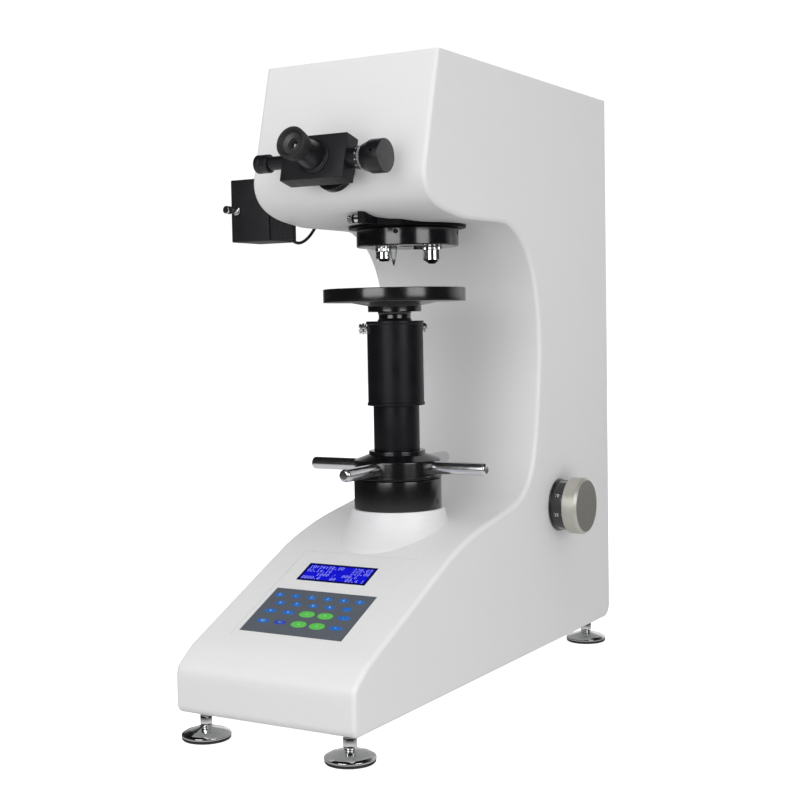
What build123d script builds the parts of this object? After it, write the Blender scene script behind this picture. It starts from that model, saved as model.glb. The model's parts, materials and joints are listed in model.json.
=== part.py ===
from build123d import *
import os
import math

# ---------------------------------------------------------------------------
# Turret hardness tester: C-frame casting on four levelling feet, a handwheel
# driven elevating column with a test table, a three-station turret under the
# head, a micrometer eyepiece on the head, a side lamp, a weight-and-lever
# loading train inside the hollow casting and a force selector on its right.
#
# Working frame M (mm): X = 0 on the machine's middle plane (+X to the right of
# someone standing in front), Y = 0 at the front edge of the base (+Y to the
# back), Z = 0 on the bench.  Every piece is drawn in M and shifted on export,
# so that the row's origin is the middle of the bounding box, on the bench.
# ---------------------------------------------------------------------------

os.makedirs("parts", exist_ok=True)

# ------------------------------------------------------------ driving sizes
BODY_X = (-98.0, 95.0)    # sides of the casting; the left cheek is thicker, for the lamp
BODY_L = 572.0            # length of the casting
BODY_TOP = 630.0          # height of the head's top
BODY_BOT = 25.2           # underside of the base
IW = 84.5                 # half width of the hollow
EDGE_R = 4.0              # rounding of the casting's side edges
SLOPE = 24.54             # tilt of the control panel's slope, degrees
COL_Y = 240.0             # working axis (column, table, indenter)
TUR_Y = 268.5             # turret axis
STATION_R = 28.5          # turret stations, from the turret axis
FOOT_X = 77.9
FOOT_Y = (18.2, 537.7)
FOOT_R = 22.8
TABLE_R = 71.9
TABLE_TOP = 411.5
SCREW_R = 13.0            # elevating screw
RUN = 0.05                # radial clearance of a running fit
PIVOT_Y, PIVOT_Z = 190.0, 560.0     # lever pivot
HANG_Y = 500.0            # weight hanger axis
SEL_Y, SEL_Z = 426.0, 174.7         # force selector axis
PIN_M = 1.0               # module of the selector's pinion and rack
PIN_N = 16                # its teeth
CAM_Y, CAM_Z = 400.0, 529.0         # loading cam axis
CAM_HI, CAM_LO = 22.2, 13.8       # cam radius, high and low
LAMP_Y0, LAMP_Y1 = 203.0, 253.0
LAMP_Z0, LAMP_Z1 = 463.5, 528.0
LAMP_X = -174.0
KNOB_X = 128.0            # outer face of the selector knob
CABLE_D = 3.2

XC = (LAMP_X + KNOB_X) / 2.0        # middle of the bounding box in X
YC = (FOOT_Y[0] - FOOT_R + BODY_L) / 2.0      # and in Y: the front feet stand a little proud

C = Align.CENTER
MN = Align.MIN


# ------------------------------------------------------------------ helpers
def save(name, shape):
    # every solid is moved by itself, so that a group of solids keeps no inner frames
    solids = [s.moved(Location((-XC, -YC, 0))) for s in shape.solids()]
    export_step(solids[0] if len(solids) == 1 else Compound(solids), f"parts/{name}.step")


def box(x0, x1, y0, y1, z0, z1):
    return Pos((x0 + x1) / 2, (y0 + y1) / 2, (z0 + z1) / 2) * Box(abs(x1 - x0), abs(y1 - y0), abs(z1 - z0))


def rbox(x0, x1, y0, y1, z0, z1, r, axis=Axis.Z):
    b = box(x0, x1, y0, y1, z0, z1)
    return fillet(b.edges().filter_by(axis), r)


def turn(pts, x=0.0, y=0.0):
    # solid of revolution of (r, z) points about the vertical through x, y
    f = Plane.XZ * make_face(Polyline(*pts, close=True))
    return Pos(x, y, 0) * revolve(f, axis=Axis.Z, revolution_arc=360)


def ring(ro, ri, z0, z1, x=0.0, y=0.0):
    return turn([(ri, z0), (ro, z0), (ro, z1), (ri, z1)], x, y)


def cyl(r, z0, z1, x=0.0, y=0.0):
    return Pos(x, y, z0) * Cylinder(r, z1 - z0, align=(C, C, MN))


def xcyl(r, x0, x1, y, z):
    return Pos(min(x0, x1), y, z) * Rot(0, 90, 0) * Cylinder(r, abs(x1 - x0), align=(C, C, MN))


def ycyl(r, y0, y1, x, z):
    return Pos(x, max(y0, y1), z) * Rot(90, 0, 0) * Cylinder(r, abs(y1 - y0), align=(C, C, MN))


def xturn(pts, y, z):
    # solid of revolution of (r, x) points about the line along X through y, z
    f = Plane.XZ * make_face(Polyline(*pts, close=True))
    return Pos(0, y, z) * Rot(0, 90, 0) * revolve(f, axis=Axis.Z, revolution_arc=360)


def yz_prism(pts, x0, x1):
    f = Plane.YZ * make_face(Polyline(*pts, close=True))
    return Pos(x0, 0, 0) * extrude(f, amount=x1 - x0)


# ----------------------------------------------------- casting outer profile
a = math.radians(SLOPE)
ca, sa = math.cos(a), math.sin(a)
HT = math.radians(14.8)
T_SLOPE = (ca, sa)
T_HEAD = (math.sin(HT), math.cos(HT))

shoulder = Spline([(0, 58), (2.6, 68.6), (12.0, 76.4), (30, 87.8)], tangents=[(0, 1), T_SLOPE])
throat = Spline([(172, 152.6), (211, 166.4), (240, 173.9), (277, 180.6), (303, 185.0),
                 (326, 191.2), (345, 202.0), (357.5, 216.5), (366, 236), (371.8, 260),
                 (376.6, 290), (380.6, 322), (382.3, 352), (380.4, 381), (374.8, 408),
                 (366, 430.5), (354, 448.5), (339, 462.0), (320, 471.5), (290, 475.6)],
                tangents=[T_SLOPE, (-1, 0)])
nose = Spline([(225, 475.6), (199, 477.9), (177, 481.2), (157, 487.6), (143.2, 497.6),
               (137.2, 510.2), (138.5, 523.8)], tangents=[(-1, 0), T_HEAD])
top_y = 138.5 + (BODY_TOP - 523.8) * math.tan(HT)
outline = Wire([
    Line((557, BODY_BOT), (8, BODY_BOT)),
    RadiusArc((8, BODY_BOT), (0, BODY_BOT + 8), 8),
    Line((0, BODY_BOT + 8), (0, 58)),
    shoulder,
    Line((30, 87.8), (172, 152.6)),
    throat,
    Line((290, 475.6), (225, 475.6)),
    nose,
    Line((138.5, 523.8), (top_y, BODY_TOP)),
    Line((top_y, BODY_TOP), (BODY_L, BODY_TOP)),
    Line((BODY_L, BODY_TOP), (BODY_L, BODY_BOT + 15)),
    RadiusArc((BODY_L, BODY_BOT + 15), (557, BODY_BOT), 15),
])
profile = Plane.YZ * Face(outline)
print("profile area mm2:", round(profile.area, 1))
block = Pos(BODY_X[0], 0, 0) * extrude(profile, amount=BODY_X[1] - BODY_X[0], dir=(1, 0, 0))

# round the long side edges, but leave the top and rear rims crisp
side_edges = [e for e in block.edges()
              if min(abs(e.center().X - BODY_X[0]), abs(e.center().X - BODY_X[1])) < 1e-3 and e.center().Z < BODY_TOP - 1
              and e.center().Y < BODY_L - 1e-3]
try:
    block = fillet(side_edges, EDGE_R)
except Exception as err:
    print("side fillet fell back:", err)
    block = fillet(side_edges, 2.0)

# column boss, flaring into the slope
boss = turn([(0, 120), (70, 120), (74, 146), (66, 156), (58, 164.5), (52.5, 173), (49.2, 181),
             (47.8, 187), (46.6, 189.8), (0, 189.8)], 0, COL_Y)
outer = block + boss

cavity_pts = [(9, 10), (9, 60), (12.5, 66.5), (34, 79.4), (175.7, 144.2), (214, 157.6), (242, 164.6),
              (279, 171.4), (306, 176.2), (331, 183.3), (352, 195.6), (365.8, 212), (374.8, 233.5),
              (380.7, 258.6), (385.6, 289), (389.6, 321.4), (391.4, 352), (389.4, 382), (383.5, 410.5),
              (374.2, 434.5), (361, 454.5), (344, 469.3), (323, 480.0), (291, 484.7), (226, 484.7),
              (201, 486.8), (180, 490), (162, 495.6), (151, 503.6), (146.4, 512), (147.3, 521),
              (top_y + 10, BODY_TOP + 12), (BODY_L + 12, BODY_TOP + 12), (BODY_L + 12, 10)]
cavity = yz_prism(cavity_pts, -IW, IW)
casting = outer - cavity

# column tube inside the boss, hung from the skin, for the collar's spigot
tube = cyl(38, 148, 180, 0, COL_Y)
casting = casting + (tube & outer)
casting = casting - cyl(30.0, 140, 195, 0, COL_Y)

# pads that carry the covers, the base plate and the lever bracket
pads = []
for sx in (-1, 1):
    xa, xb = (IW - 12) * sx, (IW + 1) * sx
    for yy in (200, 540):
        pads.append(box(min(xa, xb), max(xa, xb), yy - 8, yy + 8, 606, 622))
    for zz in (60, 330, 600):
        if zz == 600:
            pads.append(box(min(xa, xb), max(xa, xb), 552, 566, 575, 590))
        else:
            pads.append(box(min(xa, xb), max(xa, xb), 552, 566, zz - 8, zz + 8))
    for yy in (60, 290, 500):
        pads.append(box(min(xa, xb), max(xa, xb), yy - 8, yy + 8, 33.4, 45))
pads.append(yz_prism([(150, 545), (168, 545), (168, 578), (158, 578)], -30, 30))
for p in pads:
    casting = casting + p

# openings in the skin
E = Plane(origin=(0, 139, 524), x_dir=(1, 0, 0), z_dir=(0, -T_HEAD[1], T_HEAD[0]))
F = Plane(origin=(0, 101, 87.8 + 71 * math.tan(a)), x_dir=(1, 0, 0), z_dir=(0, -sa, ca))


def inE(shape):
    return E.location * shape


def inF(shape):
    return F.location * shape


OPT_S = -4.0                                   # optical axis in the head-face frame
casting = casting - inE(Pos(0, OPT_S, -58) * Cylinder(12.5, 64, align=(C, C, MN)))   # microscope tube
casting = casting - inF(box(-66, 62, -66, 75, -1.0, 5))                # overlay recess
casting = casting - inF(box(-54, 35, 20, 62, -14, 5))                  # display window
casting = casting - inF(box(-16, 10, -40, -20, -14, 5))                # keypad ribbon
casting = casting - cyl(45.9, 470, 490, 0, TUR_Y)                      # turret opening
casting = casting - cyl(60.3, 462, 475.6, 0, TUR_Y)                    # turret spot face
casting = casting - xcyl(9.3, -104, -80, COL_Y, 494)                   # lamp tube
casting = casting - Plane(origin=(-104.5, 257.739, 482.913), z_dir=(11.5, 3.5, 5.0)).location * Cylinder(2.0, 26, align=(C, C, MN))   # lamp lead
casting = casting - xcyl(8.0, 80, 100, SEL_Y, SEL_Z)                   # selector shaft

COVER_SCREW = 2.0         # thread radius of the cover screws
TAP_R = 2.03              # their tapped holes
FREE_R = 2.3              # their clearance holes in the covers
HEAD_R = 3.6              # their heads, let in flush
HEAD_H = 2.4
for sx in (-1, 1):
    for yy in (200, 540):
        casting = casting - cyl(TAP_R, 610, 640, sx * (IW - 6), yy)
    for zz in (60, 330, 582.5):
        casting = casting - ycyl(TAP_R, 554, 580, sx * (IW - 6), zz)
    for yy in (60, 290, 500):
        casting = casting - cyl(TAP_R, 20, 41, sx * (IW - 6), yy)
save("body_casting", casting)

# ------------------------------------------------------------------- covers
base_plate = box(-IW + 0.4, IW - 0.4, 9.6, 563, BODY_BOT, BODY_BOT + 8)
for sx in (-1, 1):
    for yy in FOOT_Y:
        base_plate = base_plate + cyl(6.2, BODY_BOT + 8, 47, sx * FOOT_X, yy)
        base_plate = base_plate - cyl(4.0 + RUN, 20, 60, sx * FOOT_X, yy)
    for yy in (60, 290, 500):
        base_plate = base_plate - cyl(FREE_R, 20, 40, sx * (IW - 6), yy)
        base_plate = base_plate - cyl(HEAD_R + 0.1, 20, BODY_BOT + HEAD_H, sx * (IW - 6), yy)
save("base_plate", base_plate)

top_cover = box(-IW + 0.4, IW - 0.4, top_y + 8.2, BODY_L, 622.2, BODY_TOP)
rear_cover = box(-IW + 0.4, IW - 0.4, 566.2, BODY_L, BODY_BOT + 16, 621.8)
for sx in (-1, 1):
    for yy in (200, 540):
        top_cover = top_cover - cyl(FREE_R, 610, 640, sx * (IW - 6), yy)
        top_cover = top_cover - cyl(HEAD_R + 0.1, BODY_TOP - HEAD_H, 640, sx * (IW - 6), yy)
    for zz in (60, 330, 582.5):
        rear_cover = rear_cover - ycyl(FREE_R, 556, 580, sx * (IW - 6), zz)
        rear_cover = rear_cover - ycyl(HEAD_R + 0.1, BODY_L - HEAD_H, 580, sx * (IW - 6), zz)
rear_cover = rear_cover - box(-62, -34, 560, 580, 62, 110)             # power entry
for k in range(8):                                                     # vent slots
    rear_cover = rear_cover - box(-30, 30, 560, 580, 470 + 12 * k, 474 + 12 * k)
save("top_cover", top_cover)
save("rear_cover", rear_cover)

screws = []
for sx in (-1, 1):
    for yy in (200, 540):
        s = cyl(COVER_SCREW, 613, BODY_TOP - 0.2, sx * (IW - 6), yy)
        screws.append(s + cyl(HEAD_R, BODY_TOP - HEAD_H, BODY_TOP - 0.2, sx * (IW - 6), yy))
    for zz in (60, 330, 582.5):
        s = ycyl(COVER_SCREW, 557, BODY_L - 0.2, sx * (IW - 6), zz)
        screws.append(s + ycyl(HEAD_R, BODY_L - HEAD_H, BODY_L - 0.2, sx * (IW - 6), zz))
    for yy in (60, 290, 500):
        s = cyl(COVER_SCREW, BODY_BOT + 0.2, 39, sx * (IW - 6), yy)
        screws.append(s + cyl(HEAD_R, BODY_BOT + 0.2, BODY_BOT + HEAD_H, sx * (IW - 6), yy))
save("cover_screws", Compound(children=screws))

# -------------------------------------------------------------- control panel
overlay = inF(box(-65.8, 61.8, -65.8, 74.8, -1.0, -0.15)
              - box(-48.8, 29.2, 26.3, 55.7, -3, 3)
              - box(-60.7, 51.7, -58.2, 11.2, -3, 3))
save("panel_overlay", overlay)
save("lcd_window", inF(box(-48.6, 29.0, 26.5, 55.5, -1.0, -0.2)))
save("lcd_module", inF(box(-52.0, 33.0, 22.0, 60.0, -10.0, -1.05)))

film = box(-60.5, 51.5, -58.0, 11.0, -1.0, -0.15)
KEYS = []
for kx in (-51, -32.7, -14.8, 3.4, 21.0, 38.7):
    KEYS.append((kx, 0.3, 9.0, 6.4))
for kx in (-42.7, -24.4, -5.7, 12.6, 31.4):
    KEYS.append((kx, -12.0, 9.0, 6.4))
for kx, w, h in ((-45.9, 12, 6.4), (-25.6, 12, 6.4), (-4.7, 16.5, 9), (15.4, 16.5, 9), (35.6, 13, 6.4)):
    KEYS.append((kx, -25.2, w, h))
for kx, w, h in ((-44.7, 12, 6.4), (-25.3, 12, 6.4), (-4.4, 16.5, 9), (15.6, 16.5, 9), (35.8, 13, 6.4)):
    KEYS.append((kx, -40.9, w, h))
for kx, ks, kw, kh in KEYS:
    k = Pos(kx, ks, -0.5) * extrude(SlotOverall(kw, kh), amount=0.7)
    film = film + k
save("keypad_film", inF(film))
save("control_board", inF(box(-56, 56, -56, 66, -24.0, -22.2)
                          + box(-30, 0, -40, 0, -22.2, -18)
                          + box(20, 50, 10, 40, -22.2, -14)))

# ---------------------------------------------------------- supply and switch
save("power_supply", box(-76, -20, 88, 178, 33.4, 62))
entry = (box(-61.9, -34.1, 548, 573.0 - 1.0, 62.1, 109.9))
entry = entry - box(-58, -38, 560, 590, 66, 84)                        # inlet well
for px_, pz_ in ((-53, 72), (-43, 72), (-48, 78)):
    entry = entry + box(px_ - 1, px_ + 1, 552, 567, pz_ - 2, pz_ + 2)
entry = entry - box(-57.5, -38.5, 560.0, 590, 88.5, 106.5)              # rocker well
save("power_entry", entry)
rocker = yz_prism([(569.0, 98.6), (571.8, 104.6), (563.0, 104.4), (562.2, 101), (562.2, 94), (563.0, 90.6), (569.2, 90.4)],
                  -56.5, -39.5)
save("switch_rocker", rocker)

# ----------------------------------------------------------- levelling feet
def foot(x, y):
    steel = turn([(0, 2.6), (FOOT_R - 0.6, 2.6), (FOOT_R, 3.2), (FOOT_R - 0.1, 4.8), (20.0, 6.6), (15.0, 8.3),
                  (9.0, 9.9), (6.4, 10.6), (5.0, 11.4), (4.6, 12.4), (0, 12.4)], x, y)
    hexa = Pos(x, y, 12.4) * extrude(RegularPolygon(6.2, 6, major_radius=True), amount=9.6)
    stud = cyl(4.0, 20, 46, x, y)
    sole = turn([(0, 0), (FOOT_R - 1.2, 0), (FOOT_R - 0.2, 0.8), (FOOT_R - 0.2, 2.6), (0, 2.6)], x, y)
    return Compound(children=[steel + hexa + stud, sole])


for name, sx, yy in (("foot_front_left", -1, FOOT_Y[0]), ("foot_front_right", 1, FOOT_Y[0]),
                     ("foot_rear_left", -1, FOOT_Y[1]), ("foot_rear_right", 1, FOOT_Y[1])):
    save(name, foot(sx * FOOT_X, yy))

# --------------------------------------------------------- elevating column
collar = turn([(19.0 + RUN, 165), (29.9, 165), (29.9, 189.8), (43.6, 189.8), (44.3, 190.5), (44.3, 219.4),
               (43.7, 220), (31, 220), (31, 198), (19.0 + RUN, 198)], 0, COL_Y)
key_ring = ring(29.9, SCREW_R + RUN, 150, 165, 0, COL_Y)
key = box(-2.4, 2.4, COL_Y - SCREW_R - 1.0, COL_Y - SCREW_R + 3.0, 150, 165)
collar = collar + key_ring + key
save("column_collar", collar)

cage = ring(29.3, 21.2, 200.8, 204.0, 0, COL_Y)
for k in range(12):
    t = math.radians(30 * k)
    cage = cage + Pos(25.2 * math.cos(t), COL_Y + 25.2 * math.sin(t), 202.0) * Sphere(3.96)
cage = cage & ring(29.3, 21.0, 198.02, 205.98, 0, COL_Y)
save("thrust_ball_cage", cage)

nut = turn([(SCREW_R + RUN, 170), (19, 170), (19, 206), (30, 206), (30, 211), (20, 211), (20, 242),
            (SCREW_R + RUN, 242)], 0, COL_Y)
save("elevating_nut", nut)

SPOKE_Z = 231.8
SPOKE_R = 6.4
SPOKE_TIP = 101.4
hub = turn([(20, 220.5), (43, 220.5), (43.4, 221.0), (44.9, 221.2), (44.9, 223.2), (43.9, 223.7), (43.6, 224.2),
            (43.6, 238.5), (42.9, 239.2), (28.6, 244.6), (28.6, 247.6), (27.8, 248.2),
            (13.8, 248.2), (13.8, 242.05), (20, 242.05)], 0, COL_Y)
spokes = []
for k in range(4):
    rod = xturn([(0, 24), (SPOKE_R, 24), (SPOKE_R, SPOKE_TIP - 4.2), (SPOKE_R - 0.9, SPOKE_TIP - 2.0),
                 (SPOKE_R - 2.6, SPOKE_TIP - 0.6), (SPOKE_R - 4.6, SPOKE_TIP), (0, SPOKE_TIP)], 0, SPOKE_Z)
    rod = Pos(0, COL_Y, 0) * (Rot(0, 0, 90 * k) * rod)
    hub = hub - Pos(0, COL_Y, 0) * (Rot(0, 0, 90 * k) * xcyl(SPOKE_R, 24, 60, 0, SPOKE_Z))
    spokes.append(rod)
save("handwheel_hub", hub)
save("handwheel_spokes", Compound(children=spokes))
save("lower_sleeve", turn([(21.2, 248.2), (23.2, 248.2), (23.2, 315.5), (22.7, 316), (21.2, 316)], 0, COL_Y))

screw = cyl(SCREW_R, 79, 354, 0, COL_Y)
screw = screw - box(-2.5, 2.5, COL_Y - SCREW_R - 1, COL_Y - SCREW_R + 3.2, 70, 245)       # keyway
screw = screw + turn([(0, 352), (12.9, 352), (20.9, 360.3), (25.9, 360.3), (25.9, 378.8), (17, 378.8), (17, 388), (0, 388)], 0, COL_Y)
screw = screw - cyl(8.0 + RUN, 365.5, 390, 0, COL_Y)
save("elevating_screw", screw)

ss = []
for ang in (210.0, 62.0):
    s = xturn([(0, 29.2 - 0.4), (2.4, 29.2 - 0.4), (2.4, 31.4), (5.2, 31.4), (5.6, 31.9), (5.6, 35.6), (4.6, 36.8), (0, 36.8)], 0, 371.5)
    s = s + xcyl(2.4, 26.4, 30, 0, 371.5)
    ss.append(Pos(0, COL_Y, 0) * (Rot(0, 0, ang) * s))
sleeve = turn([(26, 294), (28.9, 294), (29.1, 294.5), (29.1, 296.5), (28.3, 297.2), (28.3, 375.6),
               (29.0, 376.2), (29.0, 378.4), (28.6, 378.8), (26, 378.8)], 0, COL_Y)
for ang in (210.0, 62.0):
    sleeve = sleeve - Pos(0, COL_Y, 0) * (Rot(0, 0, ang) * xcyl(2.4, 20, 40, 0, 371.5))
save("upper_sleeve", sleeve)
save("sleeve_screws", Compound(children=ss))

table = turn([(0, 366), (8, 366), (8, 388), (26.4, 388), (27, 388.6), (27, 394.2), (30, 394.6), (44, 397.4), (70.7, 397.8),
              (TABLE_R, 399.0), (TABLE_R, 410.4), (TABLE_R - 1.1, TABLE_TOP), (0, TABLE_TOP)], 0, COL_Y)
save("test_table", table)

# ------------------------------------------------------------------- turret
mount = ring(60, 46.4, 472.4, 475.5, 0, TUR_Y) + cyl(45.7, 472.4, 484, 0, TUR_Y)
clear = ring(43.0, 14.0, 470, 490, 0, TUR_Y) & box(-60, 60, TUR_Y - 60, TUR_Y + 12, 460, 500)
mount = mount + ring(46.5, 44.5, 472.4, 475.5, 0, TUR_Y) - clear
mount = mount + cyl(9.0, 456.4, 473, 0, TUR_Y)                         # pivot stud
lug = extrude(Pos(0, 0, 473.0) * make_face(Polyline((6, 163), (12.6, 165), (14, 186), (22, 195.5), (33, 199.5), (41, 214),
                                                  (47, 228), (20, 240), (6, 240), close=True)), amount=14)
lug = lug & yz_prism([(150, 470), (240, 470), (240, 475.2), (225, 475.2), (214, 475.4), (199, 477.2), (177, 480.4),
                      (163, 484.2), (150, 488)], -60, 60)
mount = mount + (lug - cyl(59, 470, 490, 0, TUR_Y))
mount = mount + xcyl(4.2, -6.5, 8, 168.0, 477.6)                       # stop screw in the lug
save("turret_mount", mount)

disc = turn([(9.0 + RUN, 455.0), (51.2, 454.0), (52.2, 455.0), (52.2, 471.2), (51.6, 472.0), (9.0 + RUN, 472.0)], 0, TUR_Y)
stations = [(0, TUR_Y - STATION_R), (STATION_R, TUR_Y), (-STATION_R, TUR_Y), (0, TUR_Y + STATION_R)]
for sx_, sy_ in stations:
    disc = disc - cyl(4.6 if sy_ == stations[0][1] else 8.0, 440, 480, sx_, sy_)
disc = disc - cyl(9.4, 462, 480, stations[0][0], stations[0][1])
disc = disc + turn([(0, 452.4), (7.4, 452.4), (8.0, 453.0), (8.0, 470), (0, 470)], *stations[3])
disc = disc - xcyl(2.6, 48.5, 60, 0, 0).moved(Location((0, TUR_Y, 467.6), (0, 0, -73)))
save("turret_disc", disc)
save("objective_low_power", turn([(0, 441.2), (2.4, 441.2), (2.4, 440.2), (5.4, 440.2), (8.2, 443.0), (8.2, 453.9),
                                  (8.0, 453.9), (8.0, 470), (0, 470)], *stations[2]))
save("objective_high_power", turn([(0, 437.2), (2.0, 437.2), (2.0, 436.0), (3.4, 436.0), (8.9, 439.2), (9.3, 439.8),
                                   (9.3, 450.0), (9.9, 450.2), (9.9, 453.9), (8.0, 453.9), (8.0, 470), (0, 470)],
                                  *stations[1]))
save("indenter", turn([(0, 434.0), (0.5, 434.5), (2.6, 441.5), (3.9, 449.0), (4.5, 452.0), (4.5, 474.0), (9.0, 474.0),
                       (9.0, 476.0), (0, 476.0)], 0, COL_Y))

# ------------------------------------------------- loading train in the head
yoke = box(-20, 20, 232, 248, 541, 551.6)
for sx in (-1, 1):
    yoke = yoke + cyl(2.6, 478, 542, sx * 15.5, COL_Y)
yoke = yoke + (box(-18.2, 18.2, 234, 246, 476.4, 480.4) - cyl(5.5, 470, 485, 0, COL_Y))
save("load_yoke", yoke)

bracket = box(-30, 30, 168, 175, 546, 577)
for sx in (-1, 1):
    bracket = bracket + box(min(sx * 14, sx * 24), max(sx * 14, sx * 24), 174, 203, 548, 574)
bracket = bracket + xcyl(5.0, -28, 28, PIVOT_Y, PIVOT_Z)
save("lever_bracket", bracket)

lever = box(-9, 9, 180, 516, 552, 568)
lever = lever - xcyl(5.0 + RUN, -20, 20, PIVOT_Y, PIVOT_Z)
lever = lever - box(-5.2, 5.2, 486, 530, 540, 580)
lever = lever + xcyl(4.0, -9, 9, HANG_Y, PIVOT_Z)
save("load_lever", lever)

COLLAR_R = (22.0, 18.0, 14.0, 10.0)
HOLE_R = (20.0, 16.0, 12.0, 8.0)
PITCH = 44.0
hanger = xcyl(9.0, -4.6, 4.6, HANG_Y, PIVOT_Z) + cyl(4.0, 84, 553, 0, HANG_Y)
hanger = hanger - xcyl(4.0 + RUN, -10, 10, HANG_Y, PIVOT_Z)
for k in range(4):
    zc = 91.6 + PITCH * k
    hanger = hanger + turn([(0, zc - 5), (COLLAR_R[k] - 3, zc - 5), (COLLAR_R[k], zc - 3), (COLLAR_R[k], zc), (0, zc)], 0, HANG_Y)
save("weight_hanger", hanger)

weights = []
for k in range(4):
    z0 = 130 + PITCH * k
    weights.append(turn([(HOLE_R[k], z0), (37, z0), (38, z0 + 1), (38, z0 + 19), (37, z0 + 20), (HOLE_R[k], z0 + 20)], 0, HANG_Y))
save("load_weights", Compound(children=weights))

lifter = box(-46, 46, 444, 450, 122, 290)
for k in range(4):
    z1 = 130 + PITCH * k
    shelf = box(-40, 40, 449, 516, z1 - 4, z1) - box(-26, 26, HANG_Y, 530, z1 - 10, z1 + 5) - cyl(26, z1 - 10, z1 + 5, 0, HANG_Y)
    lifter = lifter + shelf
for sx in (-1, 1):
    for z0 in (122, 276):
        lug_ = box(min(sx * 45, sx * 68), max(sx * 45, sx * 68), 438, 452, z0, z0 + 14)
        lifter = lifter + lug_
    lifter = lifter - cyl(4.0 + RUN, 100, 300, sx * 59, 445)
# rack: straight-flanked teeth, pitch line at the pinion's pitch radius
PR = PIN_M * PIN_N / 2.0
BACK = 0.12                                  # backlash taken off each flank pair
rack_y = SEL_Y + PR
t20 = math.tan(math.radians(20))
rack = box(40, 52, rack_y + 1.3, 445, 150, 236)
half = math.pi * PIN_M / 4 - BACK / 2
z_first = SEL_Z - 8 * math.pi * PIN_M + math.pi * PIN_M / 2
k = 0
while True:
    zc = z_first + k * math.pi * PIN_M
    if zc > 233:
        break
    if zc > 152:
        tip, root = rack_y - 0.85, rack_y + 1.4
        pts = [(tip, zc - half + 0.85 * t20), (tip, zc + half - 0.85 * t20),
               (root, zc + half + 1.4 * t20), (root, zc - half - 1.4 * t20)]
        rack = rack + yz_prism(pts, 40, 52)
    k += 1
lifter = lifter + rack
save("weight_lifter", lifter)
save("lifter_guide_rods", Compound(children=[cyl(4.0, 33.4, 340, 59, 445), cyl(4.0, 33.4, 340, -59, 445)]))

# ---------------------------------------------------------- force selector
def involute_pinion(n, m, x0, x1, y, z, backlash):
    rb = n * m / 2 * math.cos(math.radians(20))
    rp = n * m / 2
    ra = rp + 0.9 * m
    rr = rp - 1.2 * m
    inv20 = math.tan(math.radians(20)) - math.radians(20)
    half_t = math.pi / (2 * n) - backlash / (2 * rp)
    pts = []
    for i in range(n):
        c0 = 2 * math.pi * i / n
        left = []
        for j in range(6):
            r = max(rb, rr) + (ra - max(rb, rr)) * j / 5
            al = math.acos(min(1.0, rb / r))
            ang = half_t + inv20 - (math.tan(al) - al)
            left.append((r, ang))
        seq = [(rr, -left[0][1] - 0.01)] + [(r, -g) for r, g in left] + [(r, g) for r, g in reversed(left)] + [(rr, left[0][1] + 0.01)]
        for r, g in seq:
            pts.append((y + r * math.cos(c0 + g), z + r * math.sin(c0 + g)))
    return yz_prism(pts, x0, x1)


pinion = involute_pinion(PIN_N, PIN_M, 38, 54, SEL_Y, SEL_Z, 0.12)
shaft = xcyl(5.0, 24, 122, SEL_Y, SEL_Z) + pinion
shaft = shaft + xcyl(7.9, 84.8, 93.3, SEL_Y, SEL_Z)
save("selector_shaft", shaft)
save("selector_ring", xturn([(5.0, 95.4), (28.6, 95.4), (28.6, 96.8), (27.2, 97.4), (27.2, 110.9), (5.0, 110.9)], SEL_Y, SEL_Z))
save("selector_knob", xturn([(5.0, 111.0), (30.0, 111.0), (30.5, 111.6), (30.5, 125.2), (28.2, KNOB_X - 0.4), (27.4, KNOB_X),
                             (0, KNOB_X), (0, 122.1), (5.0, 122.1)], SEL_Y, SEL_Z))

# ------------------------------------------------------------ loading motor
motor = xcyl(22, 30, 78, CAM_Y, CAM_Z - 8) + box(26, 30, CAM_Y - 26, CAM_Y + 26, CAM_Z - 36, CAM_Z + 16)
motor = motor + box(26, IW, CAM_Y - 26, CAM_Y + 26, CAM_Z - 40, CAM_Z - 34)
motor = motor - xcyl(4.0 + RUN, 20, 60, CAM_Y, CAM_Z)
save("loading_motor", motor)
# spiral cam: its radius falls evenly over 120 degrees, so the lever comes down evenly
cam_pts = []
for i in range(0, 121, 3):                  # high point straight up at rest
    t = math.radians(90 + i)
    r = CAM_HI - (CAM_HI - CAM_LO) * i / 120.0
    cam_pts.append((CAM_Y + r * math.cos(t), CAM_Z + r * math.sin(t)))
for i in range(0, 205, 12):
    t = math.radians(90 + 132 + i)
    r = CAM_LO - 0.4
    cam_pts.append((CAM_Y + r * math.cos(t), CAM_Z + r * math.sin(t)))
t = math.radians(90 - 12)
cam_pts.append((CAM_Y + (CAM_HI - 1.0) * math.cos(t), CAM_Z + (CAM_HI - 1.0) * math.sin(t)))
cam = yz_prism(cam_pts, -7, 7) + xcyl(4.0, -7, 58, CAM_Y, CAM_Z)
save("loading_cam", cam)

# --------------------------------------------------------------- microscope
block_o = box(-11.5, 11.5, 206, 252, 486.6, 508)
block_o = block_o - cyl(6.5, 480, 512, 0, COL_Y)
block_o = block_o - box(-9, 9, 231, 249, 488, 502)
side_tube = xcyl(9.2, -126.2, -21.0, COL_Y, 494) - xcyl(6.5, -130, -10, COL_Y, 494)
block_o = block_o + (side_tube - box(-21.5, 30, 200, 260, 480, 520))
arm = box(-22, -11, 231, 249, 486, 502) - xcyl(6.5, -30, 0, COL_Y, 494) - cyl(3.4, 470, 520, -15.5, COL_Y)
block_o = block_o + arm
save("optical_block", block_o)
save("beam_splitter", yz_prism([(232.0, 489.0), (248.0, 489.0), (248.0, 501.5)], -8, 8))

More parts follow.
